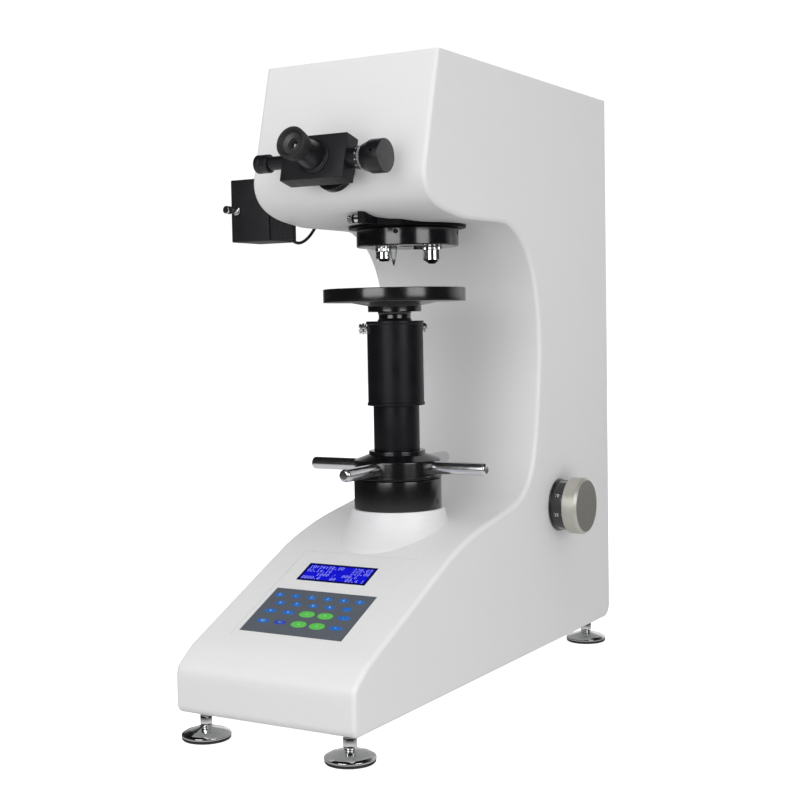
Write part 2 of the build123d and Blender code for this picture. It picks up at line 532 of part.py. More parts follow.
tube_e = (Pos(0, OPT_S, 0.45) * Cylinder(20.6, 7.05, align=(C, C, MN))
          + Pos(0, OPT_S, 7.0) * Cylinder(15.0, 12.95, align=(C, C, MN))
          + Pos(0, OPT_S, -66) * Cylinder(12.4, 70, align=(C, C, MN))
          - Pos(0, OPT_S, -70) * Cylinder(8.0, 120, align=(C, C, MN)))
save("microscope_tube", inE(tube_e))

mbox = box(-36, 33, -24.5, 17.9, 20.2, 40)
mbox = fillet(mbox.edges().filter_by(Axis.Z), 1.2)
mbox = mbox - box(-27, 24, -13, 5, 25, 35)                            # reticle slot
mbox = mbox - Pos(0, OPT_S, 15) * Cylinder(8.0, 40, align=(C, C, MN))
mbox = mbox - Pos(20, OPT_S, 30) * Rot(0, 90, 0) * Cylinder(4.0, 20, align=(C, C, MN))
mbox = mbox - Pos(-50, -2.5, 30) * Rot(0, 90, 0) * Cylinder(4.0 + RUN, 30, align=(C, C, MN))
save("micrometer_box", inE(mbox))

carriage = box(-12, 16, -12.6, 4.6, 26, 34) - Pos(0, OPT_S, 20) * Cylinder(7.0, 20, align=(C, C, MN))
carriage = carriage + Pos(0, OPT_S, 29.5) * Cylinder(7.0, 1.0, align=(C, C, MN))
carriage = carriage - Pos(7.5, OPT_S, 30) * Rot(0, 90, 0) * Cylinder(2.0 + RUN, 20, align=(C, C, MN))
save("reticle_carriage", inE(carriage))


def eturn(pts, s=OPT_S, off=30.0):
    # (r, x) points turned about the line along X through s, off in the head-face frame
    f = Plane.XZ * make_face(Polyline(*pts, close=True))
    return inE(Pos(0, s, off) * Rot(0, 90, 0) * revolve(f, axis=Axis.Z, revolution_arc=360))


def nturn(pts, x=0.0, s=OPT_S):
    # (r, off) points turned about the optical axis
    f = Plane.XZ * make_face(Polyline(*pts, close=True))
    return inE(Pos(x, s, 0) * revolve(f, axis=Axis.Z, revolution_arc=360))


save("scale_sleeve", eturn([(3.6, 26), (4.0, 26), (4.0, 33.05), (9.5, 33.05), (9.5, 41.6), (10.9, 42.0), (10.9, 47.6), (3.6, 47.6)]))
save("micrometer_drum", eturn([(0, 9.7), (2.0, 9.7), (2.0, 26.5), (3.55, 26.5), (3.55, 47.9), (11.8, 47.9), (15.4, 57.2), (15.6, 57.8), (15.6, 70.2),
                               (14.8, 71.0), (0, 71.0)]))
save("zero_knob", eturn([(0, -71), (8.0, -71), (8.8, -70.2), (8.8, -56.6), (8.2, -56), (6.5, -56), (6.5, -36.3),
                         (4.0, -36.3), (4.0, -27.5), (0, -27.5)], s=-2.5))
save("eyepiece_barrel", nturn([(8.2, 40.05), (16.0, 40.05), (16.0, 41.6), (14.6, 42.0), (14.6, 43.0), (13.8, 43.4), (13.2, 50),
                               (12.0, 58.0), (11.6, 66.0), (8.2, 66.0)]))
save("eyepiece_cup", nturn([(5.4, 66.2), (13.2, 66.2), (13.7, 66.8), (14.9, 75.4), (15.2, 79.2), (14.4, 80.0), (12.4, 80.0),
                            (11.3, 77.2), (9.8, 76.0), (5.4, 74.2)]))
save("eye_lens", nturn([(0, 69.0), (5.35, 69.0), (5.35, 73.2), (3.6, 74.0), (1.8, 74.4), (0, 74.5)]))

# --------------------------------------------------------------------- lamp
lamp_bracket = box(-126.2, -98.2, LAMP_Y0 + 2.6, LAMP_Y0 + 5.4, LAMP_Z0, LAMP_Z1)
lamp_bracket = lamp_bracket + box(-101.2, -98.2, LAMP_Y0 + 5.0, 226, LAMP_Z0 + 22, LAMP_Z1)
save("lamp_bracket", lamp_bracket)
lh = rbox(LAMP_X, -126.4, LAMP_Y0, LAMP_Y1, LAMP_Z0, LAMP_Z1, 1.2)
lh = lh - box(LAMP_X + 2, -128.4, LAMP_Y0 + 2, LAMP_Y1 - 2, LAMP_Z0 + 2, LAMP_Z1 - 2)
lh = lh - xcyl(9.6, -135, -120, COL_Y, 494)
lh = lh - ycyl(2.5 + RUN, 200, 206, -165.8, 496)
lh = lh - xcyl(2.1, -135, -120, 226, 471)
save("lamp_housing", lh)
bulb = xturn([(0, -166), (8, -166), (8, -152), (5, -151), (5.5, -147), (5.5, -140), (3.6, -136.4), (0, -135)], COL_Y - 8, 494)
bulb = bulb + box(-166, -158, LAMP_Y0 + 7, COL_Y - 10, 490, 498)
save("lamp_bulb", bulb)
ts = Pos(-165.8, 0, 496) * Rot(90, 0, 0) * revolve(Plane.XZ * make_face(Polyline(
    (0, -208), (2.5, -208), (2.5, -202.8), (4.6, -202.8), (4.6, -200.4), (2.2, -200.0), (2.2, -190.6), (3.9, -190.2),
    (4.2, -189.6), (4.2, -183.6), (3.8, -183.0), (0, -183.0), close=True)), axis=Axis.Z, revolution_arc=360)
save("lamp_thumbscrew", ts)

# lamp lead, held at both ends: out of the housing's inner side, down and round
# into the head's left wall
route = [(-127.5, 226, 471), (-119, 226, 469.5), (-111, 231.5, 459.5), (-105.5, 245.0, 466.5), (-102.0, 258.5, 484.0), (-90.5, 262, 489)]
runs = [math.dist(route[i], route[i + 1]) for i in range(len(route) - 1)]
radii = []
for i in range(1, len(route) - 1):
    u = Vector(*route[i]) - Vector(*route[i - 1])
    v = Vector(*route[i + 1]) - Vector(*route[i])
    turn_deg = u.get_angle(v)
    radii.append(0.45 * min(runs[i - 1], runs[i]) / math.tan(math.radians(turn_deg) / 2))
print("cable runs", [round(r, 1) for r in runs], "radii", [round(r, 1) for r in radii])
path = FilletPolyline(*route, radius=radii)
sec = Plane(origin=route[0], z_dir=(Vector(*route[1]) - Vector(*route[0])).normalized()) * Circle(CABLE_D / 2)
cable = sweep(sec, path=path)
print("cable length", round(path.length, 2), "volume ratio", round(cable.volume / (math.pi * CABLE_D ** 2 / 4 * path.length), 4))
save("lamp_cable", cable)
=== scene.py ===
import bpy
import bmesh
import json
import math
from mathutils import Vector, Matrix


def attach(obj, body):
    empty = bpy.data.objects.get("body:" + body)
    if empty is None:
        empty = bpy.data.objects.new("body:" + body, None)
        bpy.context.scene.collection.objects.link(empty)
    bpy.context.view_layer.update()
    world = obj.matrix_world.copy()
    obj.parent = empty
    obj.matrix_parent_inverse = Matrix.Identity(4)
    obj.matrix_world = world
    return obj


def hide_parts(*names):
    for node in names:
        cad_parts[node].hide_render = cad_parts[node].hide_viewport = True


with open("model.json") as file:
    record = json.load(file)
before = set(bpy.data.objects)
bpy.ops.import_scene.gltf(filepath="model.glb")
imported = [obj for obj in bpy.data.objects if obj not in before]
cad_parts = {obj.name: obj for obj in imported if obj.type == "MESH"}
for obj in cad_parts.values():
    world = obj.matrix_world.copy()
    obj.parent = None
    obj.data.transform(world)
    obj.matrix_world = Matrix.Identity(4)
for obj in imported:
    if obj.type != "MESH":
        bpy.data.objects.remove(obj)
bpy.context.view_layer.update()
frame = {"nodes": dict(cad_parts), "record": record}
NODES = frame["nodes"]

# Lengths below are in millimetres, in the machine's own frame: X = 0 on its
# middle plane, Y = 0 at the base's front edge, Z = 0 on the bench.
DX, DY = 23.0, -283.7


def V(x, y, z):
    return Vector(((x + DX) / 1000.0, (y + DY) / 1000.0, z / 1000.0))


def place(origin, zdir=(0, 0, 1), xdir=(1, 0, 0)):
    z = Vector(zdir).normalized()
    x = Vector(xdir)
    x = (x - z * x.dot(z)).normalized()
    y = z.cross(x)
    m = Matrix((x, y, z)).transposed().to_4x4()
    m.translation = V(*origin)
    return m


# ------------------------------------------------------------------ camera
CAM = (731.376, -1004.009, 379.513)
AZ, PI_, ROLL = math.radians(30.3016), math.radians(3.2016), math.radians(-1.03196)
look = Vector((-math.sin(AZ) * math.cos(PI_), math.cos(AZ) * math.cos(PI_), -math.sin(PI_)))
right = Vector((math.cos(AZ), math.sin(AZ), 0))
up = right.cross(look)
cx = right * math.cos(ROLL) + up * math.sin(ROLL)
cy = up * math.cos(ROLL) - right * math.sin(ROLL)
cam_data = bpy.data.cameras.new("camera")
cam_data.sensor_fit = "HORIZONTAL"
cam_data.sensor_width = 36.0
cam_data.lens = 1427.35 * 36.0 / 800.0
cam_data.clip_start = 0.05
cam_data.clip_end = 30.0
camera = bpy.data.objects.new("camera", cam_data)
bpy.context.scene.collection.objects.link(camera)
cm = Matrix((cx, cy, -look)).transposed().to_4x4()
cm.translation = V(*CAM)
camera.matrix_world = cm
bpy.context.scene.camera = camera
bpy.context.scene.view_settings.view_transform = "Standard"
bpy.context.scene.view_settings.look = "None"


# ---------------------------------------------------------------- materials
def nodes_of(m):
    nt = m.node_tree
    return nt, nt.nodes.get("Principled BSDF")


def math_node(nt, op, a, b=None, c=None):
    n = nt.nodes.new("ShaderNodeMath")
    n.operation = op
    for i, v in enumerate((a, b, c)):
        if v is None:
            continue
        if isinstance(v, (int, float)):
            n.inputs[i].default_value = v
        else:
            nt.links.new(v, n.inputs[i])
    return n.outputs[0]


def mapped(nt, v, a0, a1, b0, b1):
    n = nt.nodes.new("ShaderNodeMapRange")
    nt.links.new(v, n.inputs[0])
    for i, x in enumerate((a0, a1, b0, b1)):
        n.inputs[i + 1].default_value = x
    return n.outputs[0]


def noise_node(nt, vec, scale, detail=3.0, rough=0.55, dist=0.0):
    n = nt.nodes.new("ShaderNodeTexNoise")
    n.inputs["Scale"].default_value = scale
    n.inputs["Detail"].default_value = detail
    n.inputs["Roughness"].default_value = rough
    n.inputs["Distortion"].default_value = dist
    nt.links.new(vec, n.inputs["Vector"])
    return n.outputs["Fac"]


def mix_color(nt, fac, a, b, blend="MIX"):
    n = nt.nodes.new("ShaderNodeMix")
    n.data_type = "RGBA"
    n.blend_type = blend
    if isinstance(fac, (int, float)):
        n.inputs[0].default_value = fac
    else:
        nt.links.new(fac, n.inputs[0])
    for i, v in ((6, a), (7, b)):
        if isinstance(v, (tuple, list)):
            n.inputs[i].default_value = (v[0], v[1], v[2], 1.0)
        else:
            nt.links.new(v, n.inputs[i])
    return n.outputs[2]


def combine(nt, x, y, z):
    n = nt.nodes.new("ShaderNodeCombineXYZ")
    for i, v in enumerate((x, y, z)):
        if isinstance(v, (int, float)):
            n.inputs[i].default_value = v
        else:
            nt.links.new(v, n.inputs[i])
    return n.outputs[0]


def material(name, color, rough, metal=0.0, var=0.04, rvar=0.05, grain=60.0, bump=0.0, bump_scale=900.0,
             bump2=0.0, bump2_scale=150.0, turned=0.0, coat=0.0, coat_rough=0.08, spec=0.5, scratch=0.0, dark=None,
             emission=None, emission_strength=0.0, wear=0.0, wear_color=(0.5, 0.5, 0.5)):
    """Principled finish with large tone variation, fine grain, lathe marks, scratches and edge wear."""
    m = bpy.data.materials.new(name)
    m.use_nodes = True
    nt, b = nodes_of(m)
    tc = nt.nodes.new("ShaderNodeTexCoord").outputs["Object"]
    b.inputs["Metallic"].default_value = metal
    b.inputs["Specular IOR Level"].default_value = spec
    if coat > 0:
        b.inputs["Coat Weight"].default_value = coat
        b.inputs["Coat Roughness"].default_value = coat_rough
    tone = noise_node(nt, tc, grain, 4.0, 0.6)
    lo = tuple(c * (1.0 - var) for c in (dark or color))
    col = mix_color(nt, mapped(nt, tone, 0.3, 0.7, 0.0, 1.0), lo, color)
    rr = mapped(nt, noise_node(nt, tc, grain * 2.3, 3.0, 0.6), 0.3, 0.7, max(0.0, rough - rvar), min(1.0, rough + rvar))
    height = None
    if turned > 0:
        sp = nt.nodes.new("ShaderNodeSeparateXYZ")
        nt.links.new(tc, sp.inputs[0])
        r2 = math_node(nt, "ADD", math_node(nt, "POWER", math_node(nt, "ABSOLUTE", sp.outputs[0]), 2.0),
                       math_node(nt, "POWER", math_node(nt, "ABSOLUTE", sp.outputs[1]), 2.0))
        rad = math_node(nt, "SQRT", r2)
        tv = combine(nt, rad, math_node(nt, "MULTIPLY", sp.outputs[0], 0.02), sp.outputs[2])
        rings = noise_node(nt, tv, 3600.0, 2.0, 0.7)
        bp = nt.nodes.new("ShaderNodeBump")
        bp.inputs["Strength"].default_value = turned
        bp.inputs["Distance"].default_value = 0.00004
        nt.links.new(rings, bp.inputs["Height"])
        height = bp
        rr = math_node(nt, "ADD", rr, mapped(nt, rings, 0.3, 0.7, -0.02, 0.03))
    if scratch > 0:
        st = nt.nodes.new("ShaderNodeMapping")
        st.inputs["Scale"].default_value = (40.0, 900.0, 300.0)
        st.inputs["Rotation"].default_value = (0.3, 0.5, 0.9)
        nt.links.new(tc, st.inputs["Vector"])
        sc = noise_node(nt, st.outputs[0], 1.0, 6.0, 0.75)
        rr = math_node(nt, "ADD", rr, mapped(nt, sc, 0.55, 0.75, 0.0, scratch))
    if bump > 0:
        bp = nt.nodes.new("ShaderNodeBump")
        bp.inputs["Strength"].default_value = bump
        bp.inputs["Distance"].default_value = 0.0001
        nt.links.new(noise_node(nt, tc, bump_scale, 3.0, 0.6), bp.inputs["Height"])
        if height is not None:
            nt.links.new(height.outputs[0], bp.inputs["Normal"])
        height = bp
    if bump2 > 0:
        bp = nt.nodes.new("ShaderNodeBump")
        bp.inputs["Strength"].default_value = bump2
        bp.inputs["Distance"].default_value = 0.0004
        nt.links.new(noise_node(nt, tc, bump2_scale, 2.0, 0.5), bp.inputs["Height"])
        if height is not None:
            nt.links.new(height.outputs[0], bp.inputs["Normal"])
        height = bp
    if wear > 0:
        geo = nt.nodes.new("ShaderNodeNewGeometry")
        edge = mapped(nt, geo.outputs["Pointiness"], 0.53, 0.60, 0.0, 1.0)
        spots = mapped(nt, noise_node(nt, tc, 420.0, 5.0, 0.7), 0.45, 0.7, 0.0, 1.0)
        k = math_node(nt, "MULTIPLY", math_node(nt, "MULTIPLY", edge, spots), wear)
        col = mix_color(nt, k, col, wear_color)
    nt.links.new(col, b.inputs["Base Color"])
    nt.links.new(rr, b.inputs["Roughness"])
    if height is not None:
        nt.links.new(height.outputs[0], b.inputs["Normal"])
    if emission is not None:
        b.inputs["Emission Color"].default_value = (*emission, 1.0)
        b.inputs["Emission Strength"].default_value = emission_strength
    return m


PAINT = material("body_enamel", (0.80, 0.80, 0.805), 0.40, var=0.012, rvar=0.03, grain=14.0, bump=0.05, bump_scale=1500.0,
                 bump2=0.035, bump2_scale=260.0, spec=0.28)
COVER = material("cover_enamel", (0.79, 0.79, 0.785), 0.40, var=0.015, rvar=0.04, grain=20.0, bump=0.10, bump_scale=1300.0,
                 bump2=0.04, bump2_scale=300.0, spec=0.42)
FILM = material("overlay_film", (0.80, 0.80, 0.80), 0.45, var=0.01, rvar=0.04, grain=60.0, bump=0.16, bump_scale=5200.0, spec=0.4)
BLACK = material("black_oxide_turned", (0.0060, 0.0060, 0.0070), 0.17, var=0.35, rvar=0.03, grain=45.0, turned=0.12, spec=0.9,
                 wear=0.16, wear_color=(0.10, 0.10, 0.105))
BLACKT = material("black_turret_enamel", (0.005, 0.005, 0.0065), 0.15, var=0.3, rvar=0.03, grain=60.0, turned=0.06, spec=0.9,
                  bump=0.03, bump_scale=2600.0)
SLEEVE = material("black_satin_anodise", (0.0060, 0.0058, 0.0085), 0.36, var=0.3, rvar=0.06, grain=30.0, turned=0.2, spec=0.22,
                  bump=0.05, bump_scale=3000.0)
MATTE = material("matte_black_enamel", (0.0075, 0.0073, 0.0095), 0.50, var=0.25, rvar=0.07, grain=70.0, bump=0.22, bump_scale=3400.0,
                 spec=0.34, wear=0.12, wear_color=(0.09, 0.09, 0.095))
MATTET = material("matte_black_turned", (0.0075, 0.0073, 0.0095), 0.34, var=0.25, rvar=0.06, grain=70.0, turned=0.35, spec=0.45,
                  bump=0.06, bump_scale=4200.0)
GREYEND = material("grey_turned_end", (0.060, 0.061, 0.063), 0.40, metal=0.25, var=0.15, rvar=0.05, grain=90.0, turned=0.8, spec=0.5)
CHROME = material("chrome_plate", (0.78, 0.785, 0.79), 0.075, metal=1.0, var=0.03, rvar=0.025, grain=180.0, turned=0.06,
                  scratch=0.10, bump=0.02, bump_scale=2500.0)
SATINCHROME = material("satin_chrome", (0.70, 0.70, 0.72), 0.24, metal=1.0, var=0.06, rvar=0.05, grain=220.0, turned=0.35,
                       scratch=0.10)
SPOKE = material("plated_spoke", (0.70, 0.70, 0.72), 0.17, metal=1.0, var=0.03, rvar=0.02, grain=90.0, turned=0.08, scratch=0.04, bump=0.02,
                 bump_scale=2500.0)
STEEL = material("ground_steel", (0.52, 0.52, 0.53), 0.32, metal=1.0, var=0.12, rvar=0.08, grain=70.0, turned=0.5, scratch=0.2,
                 bump=0.05, bump_scale=1800.0)
IRON = material("blackened_iron", (0.09, 0.09, 0.092), 0.55, metal=0.7, var=0.25, rvar=0.1, grain=60.0, bump=0.4, bump_scale=900.0)
BRONZE = material("bronze", (0.62, 0.42, 0.20), 0.30, metal=1.0, var=0.12, rvar=0.08, grain=80.0, turned=0.5, scratch=0.15)
ALLOY = material("light_alloy", (0.62, 0.63, 0.64), 0.35, metal=1.0, var=0.08, rvar=0.08, grain=90.0, scratch=0.2, bump=0.06,
                 bump_scale=1400.0)
ZINC = material("zinc_screws", (0.60, 0.61, 0.62), 0.30, metal=1.0, var=0.10, rvar=0.1, grain=260.0, scratch=0.2)
PCB = material("green_laminate", (0.02, 0.13, 0.06), 0.35, var=0.3, rvar=0.08, grain=160.0, bump=0.2, bump_scale=2200.0)
PLASTIC = material("black_moulding", (0.020, 0.020, 0.021), 0.38, var=0.15, rvar=0.06, grain=120.0, bump=0.25, bump_scale=2600.0)
RUBBER = material("black_rubber", (0.018, 0.018, 0.018), 0.62, var=0.2, rvar=0.08, grain=160.0, bump=0.3, bump_scale=2400.0, spec=0.35)
CHAMP = material("champagne_anodise", (0.50, 0.49, 0.44), 0.34, metal=0.40, var=0.06, rvar=0.05, grain=120.0, turned=0.5, spec=0.5,
                 scratch=0.08)
# darker copy of the champagne anodise for the knob's end face: painted shade, the face is the same metal as the sides
CHAMP_SHADED_FACE = material("champagne_face_painted_shade", (0.27, 0.265, 0.245), 0.38, metal=0.50, var=0.07, rvar=0.05, grain=120.0, turned=0.9, spec=0.5,
                  scratch=0.08)
WHITEINK = material("white_ink", (0.80, 0.80, 0.80), 0.45, var=0.05, rvar=0.05, grain=300.0, bump=0.1, bump_scale=4000.0)
SLATE = material("slate_film", (0.110, 0.125, 0.150), 0.42, var=0.06, rvar=0.05, grain=70.0, bump=0.22, bump_scale=4600.0, spec=0.4)
BLUEKEY = material("blue_key", (0.015, 0.160, 0.58), 0.36, var=0.10, rvar=0.05, grain=240.0, bump=0.12, bump_scale=4600.0, spec=0.4)
GREENKEY = material("green_key", (0.120, 0.60, 0.095), 0.36, var=0.10, rvar=0.05, grain=240.0, bump=0.12, bump_scale=4600.0, spec=0.4)
HOLE = material("socket_black", (0.004, 0.004, 0.004), 0.6, var=0.2, rvar=0.05, grain=200.0, bump=0.1, bump_scale=3000.0)
PIXEL = material("lcd_pixel", (0.50, 0.52, 0.90), 0.4, var=0.1, rvar=0.05, grain=900.0, emission=(0.50, 0.52, 1.0), emission_strength=0.34)
EYEFACE = material("grey_eyepiece_face", (0.042, 0.042, 0.044), 0.42, var=0.15, rvar=0.05, grain=90.0, turned=0.35, spec=0.5, bump=0.05,
                   bump_scale=4000.0)
NAVY = material("lcd_border_glass", (0.004, 0.004, 0.090), 0.10, var=0.1, rvar=0.02, grain=60.0, coat=0.3, coat_rough=0.05, spec=0.4)
MOUNT = material("black_mount_enamel", (0.0025, 0.0025, 0.0035), 0.42, var=0.3, rvar=0.05, grain=70.0, bump=0.08, bump_scale=3000.0, spec=0.08)
LCD = material("lcd_blue_field", (0.003, 0.003, 0.42), 0.25, var=0.06, rvar=0.03, grain=700.0, emission=(0.004, 0.006, 0.80),
               emission_strength=0.34, spec=0.25)
INDIGOKEY = material("indigo_key", (0.025, 0.075, 0.50), 0.36, var=0.10, rvar=0.05, grain=240.0, bump=0.12, bump_scale=4600.0, spec=0.4)
LEGEND = material("legend_light", (0.48, 0.66, 0.90), 0.45, var=0.05, rvar=0.05, grain=300.0, bump=0.1, bump_scale=4000.0)
LEGENDG = material("legend_green", (0.50, 0.86, 0.46), 0.45, var=0.05, rvar=0.05, grain=300.0, bump=0.1, bump_scale=4000.0)


def lens_material(name, tint, rough):
    m = material(name, tint, rough, var=0.1, rvar=0.01, grain=60.0, coat=0.6, coat_rough=0.03)
    b = m.node_tree.nodes["Principled BSDF"]
    b.inputs["IOR"].default_value = 1.6
    return m


LENS = lens_material("coated_lens", (0.010, 0.012, 0.018), 0.05)
GLASS = lens_material("clear_optic", (0.55, 0.60, 0.62), 0.04)
GLASS.node_tree.nodes["Principled BSDF"].inputs["Transmission Weight"].default_value = 0.85


def set_mat(node, m):
    o = NODES[node]
    o.data.materials.clear()
    o.data.materials.append(m)


# ------------------------------------------------------------ mesh builders
def finish_mesh(me, sharp=38.0):
    bm = bmesh.new()
    bm.from_mesh(me)
    bmesh.ops.recalc_face_normals(bm, faces=bm.faces)
    bm.to_mesh(me)
    bm.free()
    for p in me.polygons:
        p.use_smooth = True
    me.set_sharp_from_angle(angle=math.radians(sharp))
    me.update()


def add(name, me, m, body, mats, replaces=(), sharp=38.0):
    finish_mesh(me, sharp)
    o = bpy.data.objects.new(name, me)
    bpy.context.scene.collection.objects.link(o)
    o.matrix_world = m
    for k in (mats if isinstance(mats, (list, tuple)) else [mats]):
        me.materials.append(k)
    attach(o, body)
    if replaces:
        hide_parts(*replaces)
    return o


def rounded(pts, closed=True, k=4):
    out = []
    n = len(pts)
    for i, p in enumerate(pts):
        r = p[2] if len(p) > 2 else 0.0
        q = Vector(p[:2])
        if r <= 0 or (not closed and i in (0, n - 1)):
            out.append(q)
            continue
        a, b = Vector(pts[i - 1][:2]) - q, Vector(pts[(i + 1) % n][:2]) - q
        la, lb = a.length, b.length
        a, b = a / la, b / lb
        ang = a.angle(b)
        t = min(r / math.tan(ang / 2), la * 0.48, lb * 0.48)
        rr = t * math.tan(ang / 2)
        c = q + (a + b).normalized() * (rr / math.sin(ang / 2))
        s, e = q + a * t - c, q + b * t - c
        a0 = math.atan2(s.y, s.x)
        d = math.atan2(e.y, e.x) - a0
        while d > math.pi:
            d -= 2 * math.pi
        while d < -math.pi:
            d += 2 * math.pi
        for j in range(k + 1):
            w = a0 + d * j / k
            out.append(c + Vector((math.cos(w), math.sin(w))) * rr)
    return out


def lathe_mesh(name, pts, seg=96, k=4, shape=None, mat_of=None):
    """(r, z[, corner radius]) points, closed; points on the axis close it with poles."""
    prof = rounded(pts, True, k)
    on_axis = [i for i, p in enumerate(prof) if p.x < 1e-6]
    verts, faces, rings = [], [], []
    for p in prof:
        if p.x < 1e-6:
            rings.append([len(verts)])
            verts.append((0.0, 0.0, p.y / 1000))
        else:
            ring = []
            for i in range(seg):
                t = 2 * math.pi * i / seg
                r = p.x if shape is None else shape(p.x, p.y, t)
                ring.append(len(verts))
                verts.append((r * math.cos(t) / 1000, r * math.sin(t) / 1000, p.y / 1000))
            rings.append(ring)
    n = len(rings)
    mi = []
    for i in range(n):
        a, b = rings[i], rings[(i + 1) % n]
        if len(a) == 1 and len(b) == 1:
            continue
        pa, pb = prof[i], prof[(i + 1) % n]
        idx = mat_of((pa.x + pb.x) / 2, (pa.y + pb.y) / 2) if mat_of else 0
        for j in range(seg):
            j2 = (j + 1) % seg
            if len(a) == 1:
                faces.append((a[0], b[j], b[j2]))
            elif len(b) == 1:
                faces.append((a[j], a[j2], b[0]))
            else:
                faces.append((a[j], a[j2], b[j2], b[j]))
            mi.append(idx)
    me = bpy.data.meshes.new(name)
    me.from_pydata(verts, [], faces)
    for p, i in zip(me.polygons, mi):
        p.material_index = i
    return me


def lathe(name, pts, m, body, mats, replaces=(), seg=96, k=4, shape=None, mat_of=None, slot=None, sharp=38.0):
    return add(name, lathe_mesh(name, pts, seg, k, shape, mat_of), m, body, mats, replaces, sharp)


def bevel_all(bm, r, seg=3, angle=20.0):
    edges = [e for e in bm.edges if len(e.link_faces) == 2 and e.calc_face_angle(0) > math.radians(angle)]
    bmesh.ops.bevel(bm, geom=edges, offset=r / 1000.0, segments=seg, profile=0.5, affect="EDGES", clamp_overlap=True)


def box_mesh(name, x0, x1, y0, y1, z0, z1, r=0.6, seg=3):
    bm = bmesh.new()
    bmesh.ops.create_cube(bm, size=1.0)
    for v in bm.verts:
        v.co = Vector(((x0 + x1) / 2 + v.co.x * (x1 - x0), (y0 + y1) / 2 + v.co.y * (y1 - y0),
                       (z0 + z1) / 2 + v.co.z * (z1 - z0))) / 1000.0
    if r > 0:
        bevel_all(bm, r, seg)
    me = bpy.data.meshes.new(name)
    bm.to_mesh(me)
    bm.free()
    return me


def box(name, dims, m, body, mats, r=0.6, seg=3, replaces=(), slot=None):
    return add(name, box_mesh(name, *dims, r, seg), m, body, mats, replaces, 38.0)


def prism_mesh(name, poly, z0, z1, r=0.3, seg=2):
    bm = bmesh.new()
    lo = [bm.verts.new((p[0] / 1000, p[1] / 1000, z0 / 1000)) for p in poly]
    hi = [bm.verts.new((p[0] / 1000, p[1] / 1000, z1 / 1000)) for p in poly]
    bm.faces.new(lo[::-1])
    bm.faces.new(hi)
    n = len(poly)
    for i in range(n):
        j = (i + 1) % n
        bm.faces.new((lo[i], lo[j], hi[j], hi[i]))
    bmesh.ops.recalc_face_normals(bm, faces=bm.faces)
    if r > 0:
        bevel_all(bm, r, seg, 25.0)
    me = bpy.data.meshes.new(name)
    bm.to_mesh(me)
    bm.free()
    return me


def joined(name, parts):
    """Joins (mesh, matrix in millimetre-free metres, material index) into one mesh."""
    bm = bmesh.new()
    for me, m, idx in parts:
        t = bmesh.new()
        t.from_mesh(me)
        bmesh.ops.transform(t, matrix=m, verts=t.verts)
        for f in t.faces:
            if idx is not None:
                f.material_index = idx
        tmp = bpy.data.meshes.new("tmp")
        t.to_mesh(tmp)
        t.free()
        bm.from_mesh(tmp)
        bpy.data.meshes.remove(tmp)
    me = bpy.data.meshes.new(name)
    bm.to_mesh(me)
    bm.free()
    return me


def shift(x, y, z):
    return Matrix.Translation(Vector((x, y, z)) / 1000.0)


def rot(axis, deg):
    return Matrix.Rotation(math.radians(deg), 4, axis)


def cut(o, cutters, op="DIFFERENCE"):
    for c in cutters:
        md = o.modifiers.new("cut", "BOOLEAN")
        md.object = c
        md.operation = op
        md.solver = "EXACT"
    dg = bpy.context.evaluated_depsgraph_get()
    me = bpy.data.meshes.new_from_object(o.evaluated_get(dg))
    o.modifiers.clear()
    old = o.data
    o.data = me
    bpy.data.meshes.remove(old)
    for c in cutters:
        d = c.data
        bpy.data.objects.remove(c)
        bpy.data.meshes.remove(d)
    for p in o.data.polygons:
        p.use_smooth = True
    o.data.set_sharp_from_angle(angle=math.radians(35))
    return o


def loose(me, m):
    o = bpy.data.objects.new("cutter", me)
    bpy.context.scene.collection.objects.link(o)
    o.matrix_world = m
    return o


def text_mesh(s, size, depth=0.05):
    """Plain figures as a mesh, centred on the origin, in the XY plane."""
    cu = bpy.data.curves.new("t", "FONT")
    cu.body = s
    cu.size = size / 1000.0
    cu.align_x = "CENTER"
    cu.align_y = "CENTER"
    cu.extrude = depth / 2000.0
    cu.resolution_u = 3
    o = bpy.data.objects.new("t", cu)
    bpy.context.scene.collection.objects.link(o)
    bpy.context.view_layer.update()
    dg = bpy.context.evaluated_depsgraph_get()
    me = bpy.data.meshes.new_from_object(o.evaluated_get(dg))
    bpy.data.objects.remove(o)
    bpy.data.curves.remove(cu)
    me.materials.clear()
    return me


def wrap(me, radius, turn_deg, z_mid, flip=False):
    """Bends a flat XY mesh (x along the round, y along the axis) on a cylinder about Z."""
    bm = bmesh.new()
    bm.from_mesh(me)
    for v in bm.verts:
        t = math.radians(turn_deg) + (-v.co.x if flip else v.co.x) / (radius / 1000.0)
        r = radius / 1000.0 + v.co.z
        v.co = Vector((r * math.cos(t), r * math.sin(t), z_mid / 1000.0 + (-v.co.y if flip else v.co.y)))
    bmesh.ops.recalc_face_normals(bm, faces=bm.faces)
    out = bpy.data.meshes.new("wrapped")
    bm.to_mesh(out)
    bm.free()
    return out


ID = Matrix.Identity(4)
AXZ = place((0, 240, 0))                         # working axis
TUR = place((0, 268.5, 0))                       # turret axis
HT = math.radians(14.8)
NRM = (0, -math.cos(HT), math.sin(HT))
UPF = (0, math.sin(HT), math.cos(HT))


def in_e(x, s, off):
    return (x, 139 + s * math.sin(HT) - off * math.cos(HT), 524 + s * math.cos(HT) + off * math.sin(HT))


def e_place(x=0.0, s=0.0, off=0.0):              # local z along the head's face normal, x to the right
    m = Matrix((Vector((1, 0, 0)), Vector(UPF), Vector(NRM))).transposed().to_4x4()
    m.translation = V(*in_e(x, s, off))
    return m


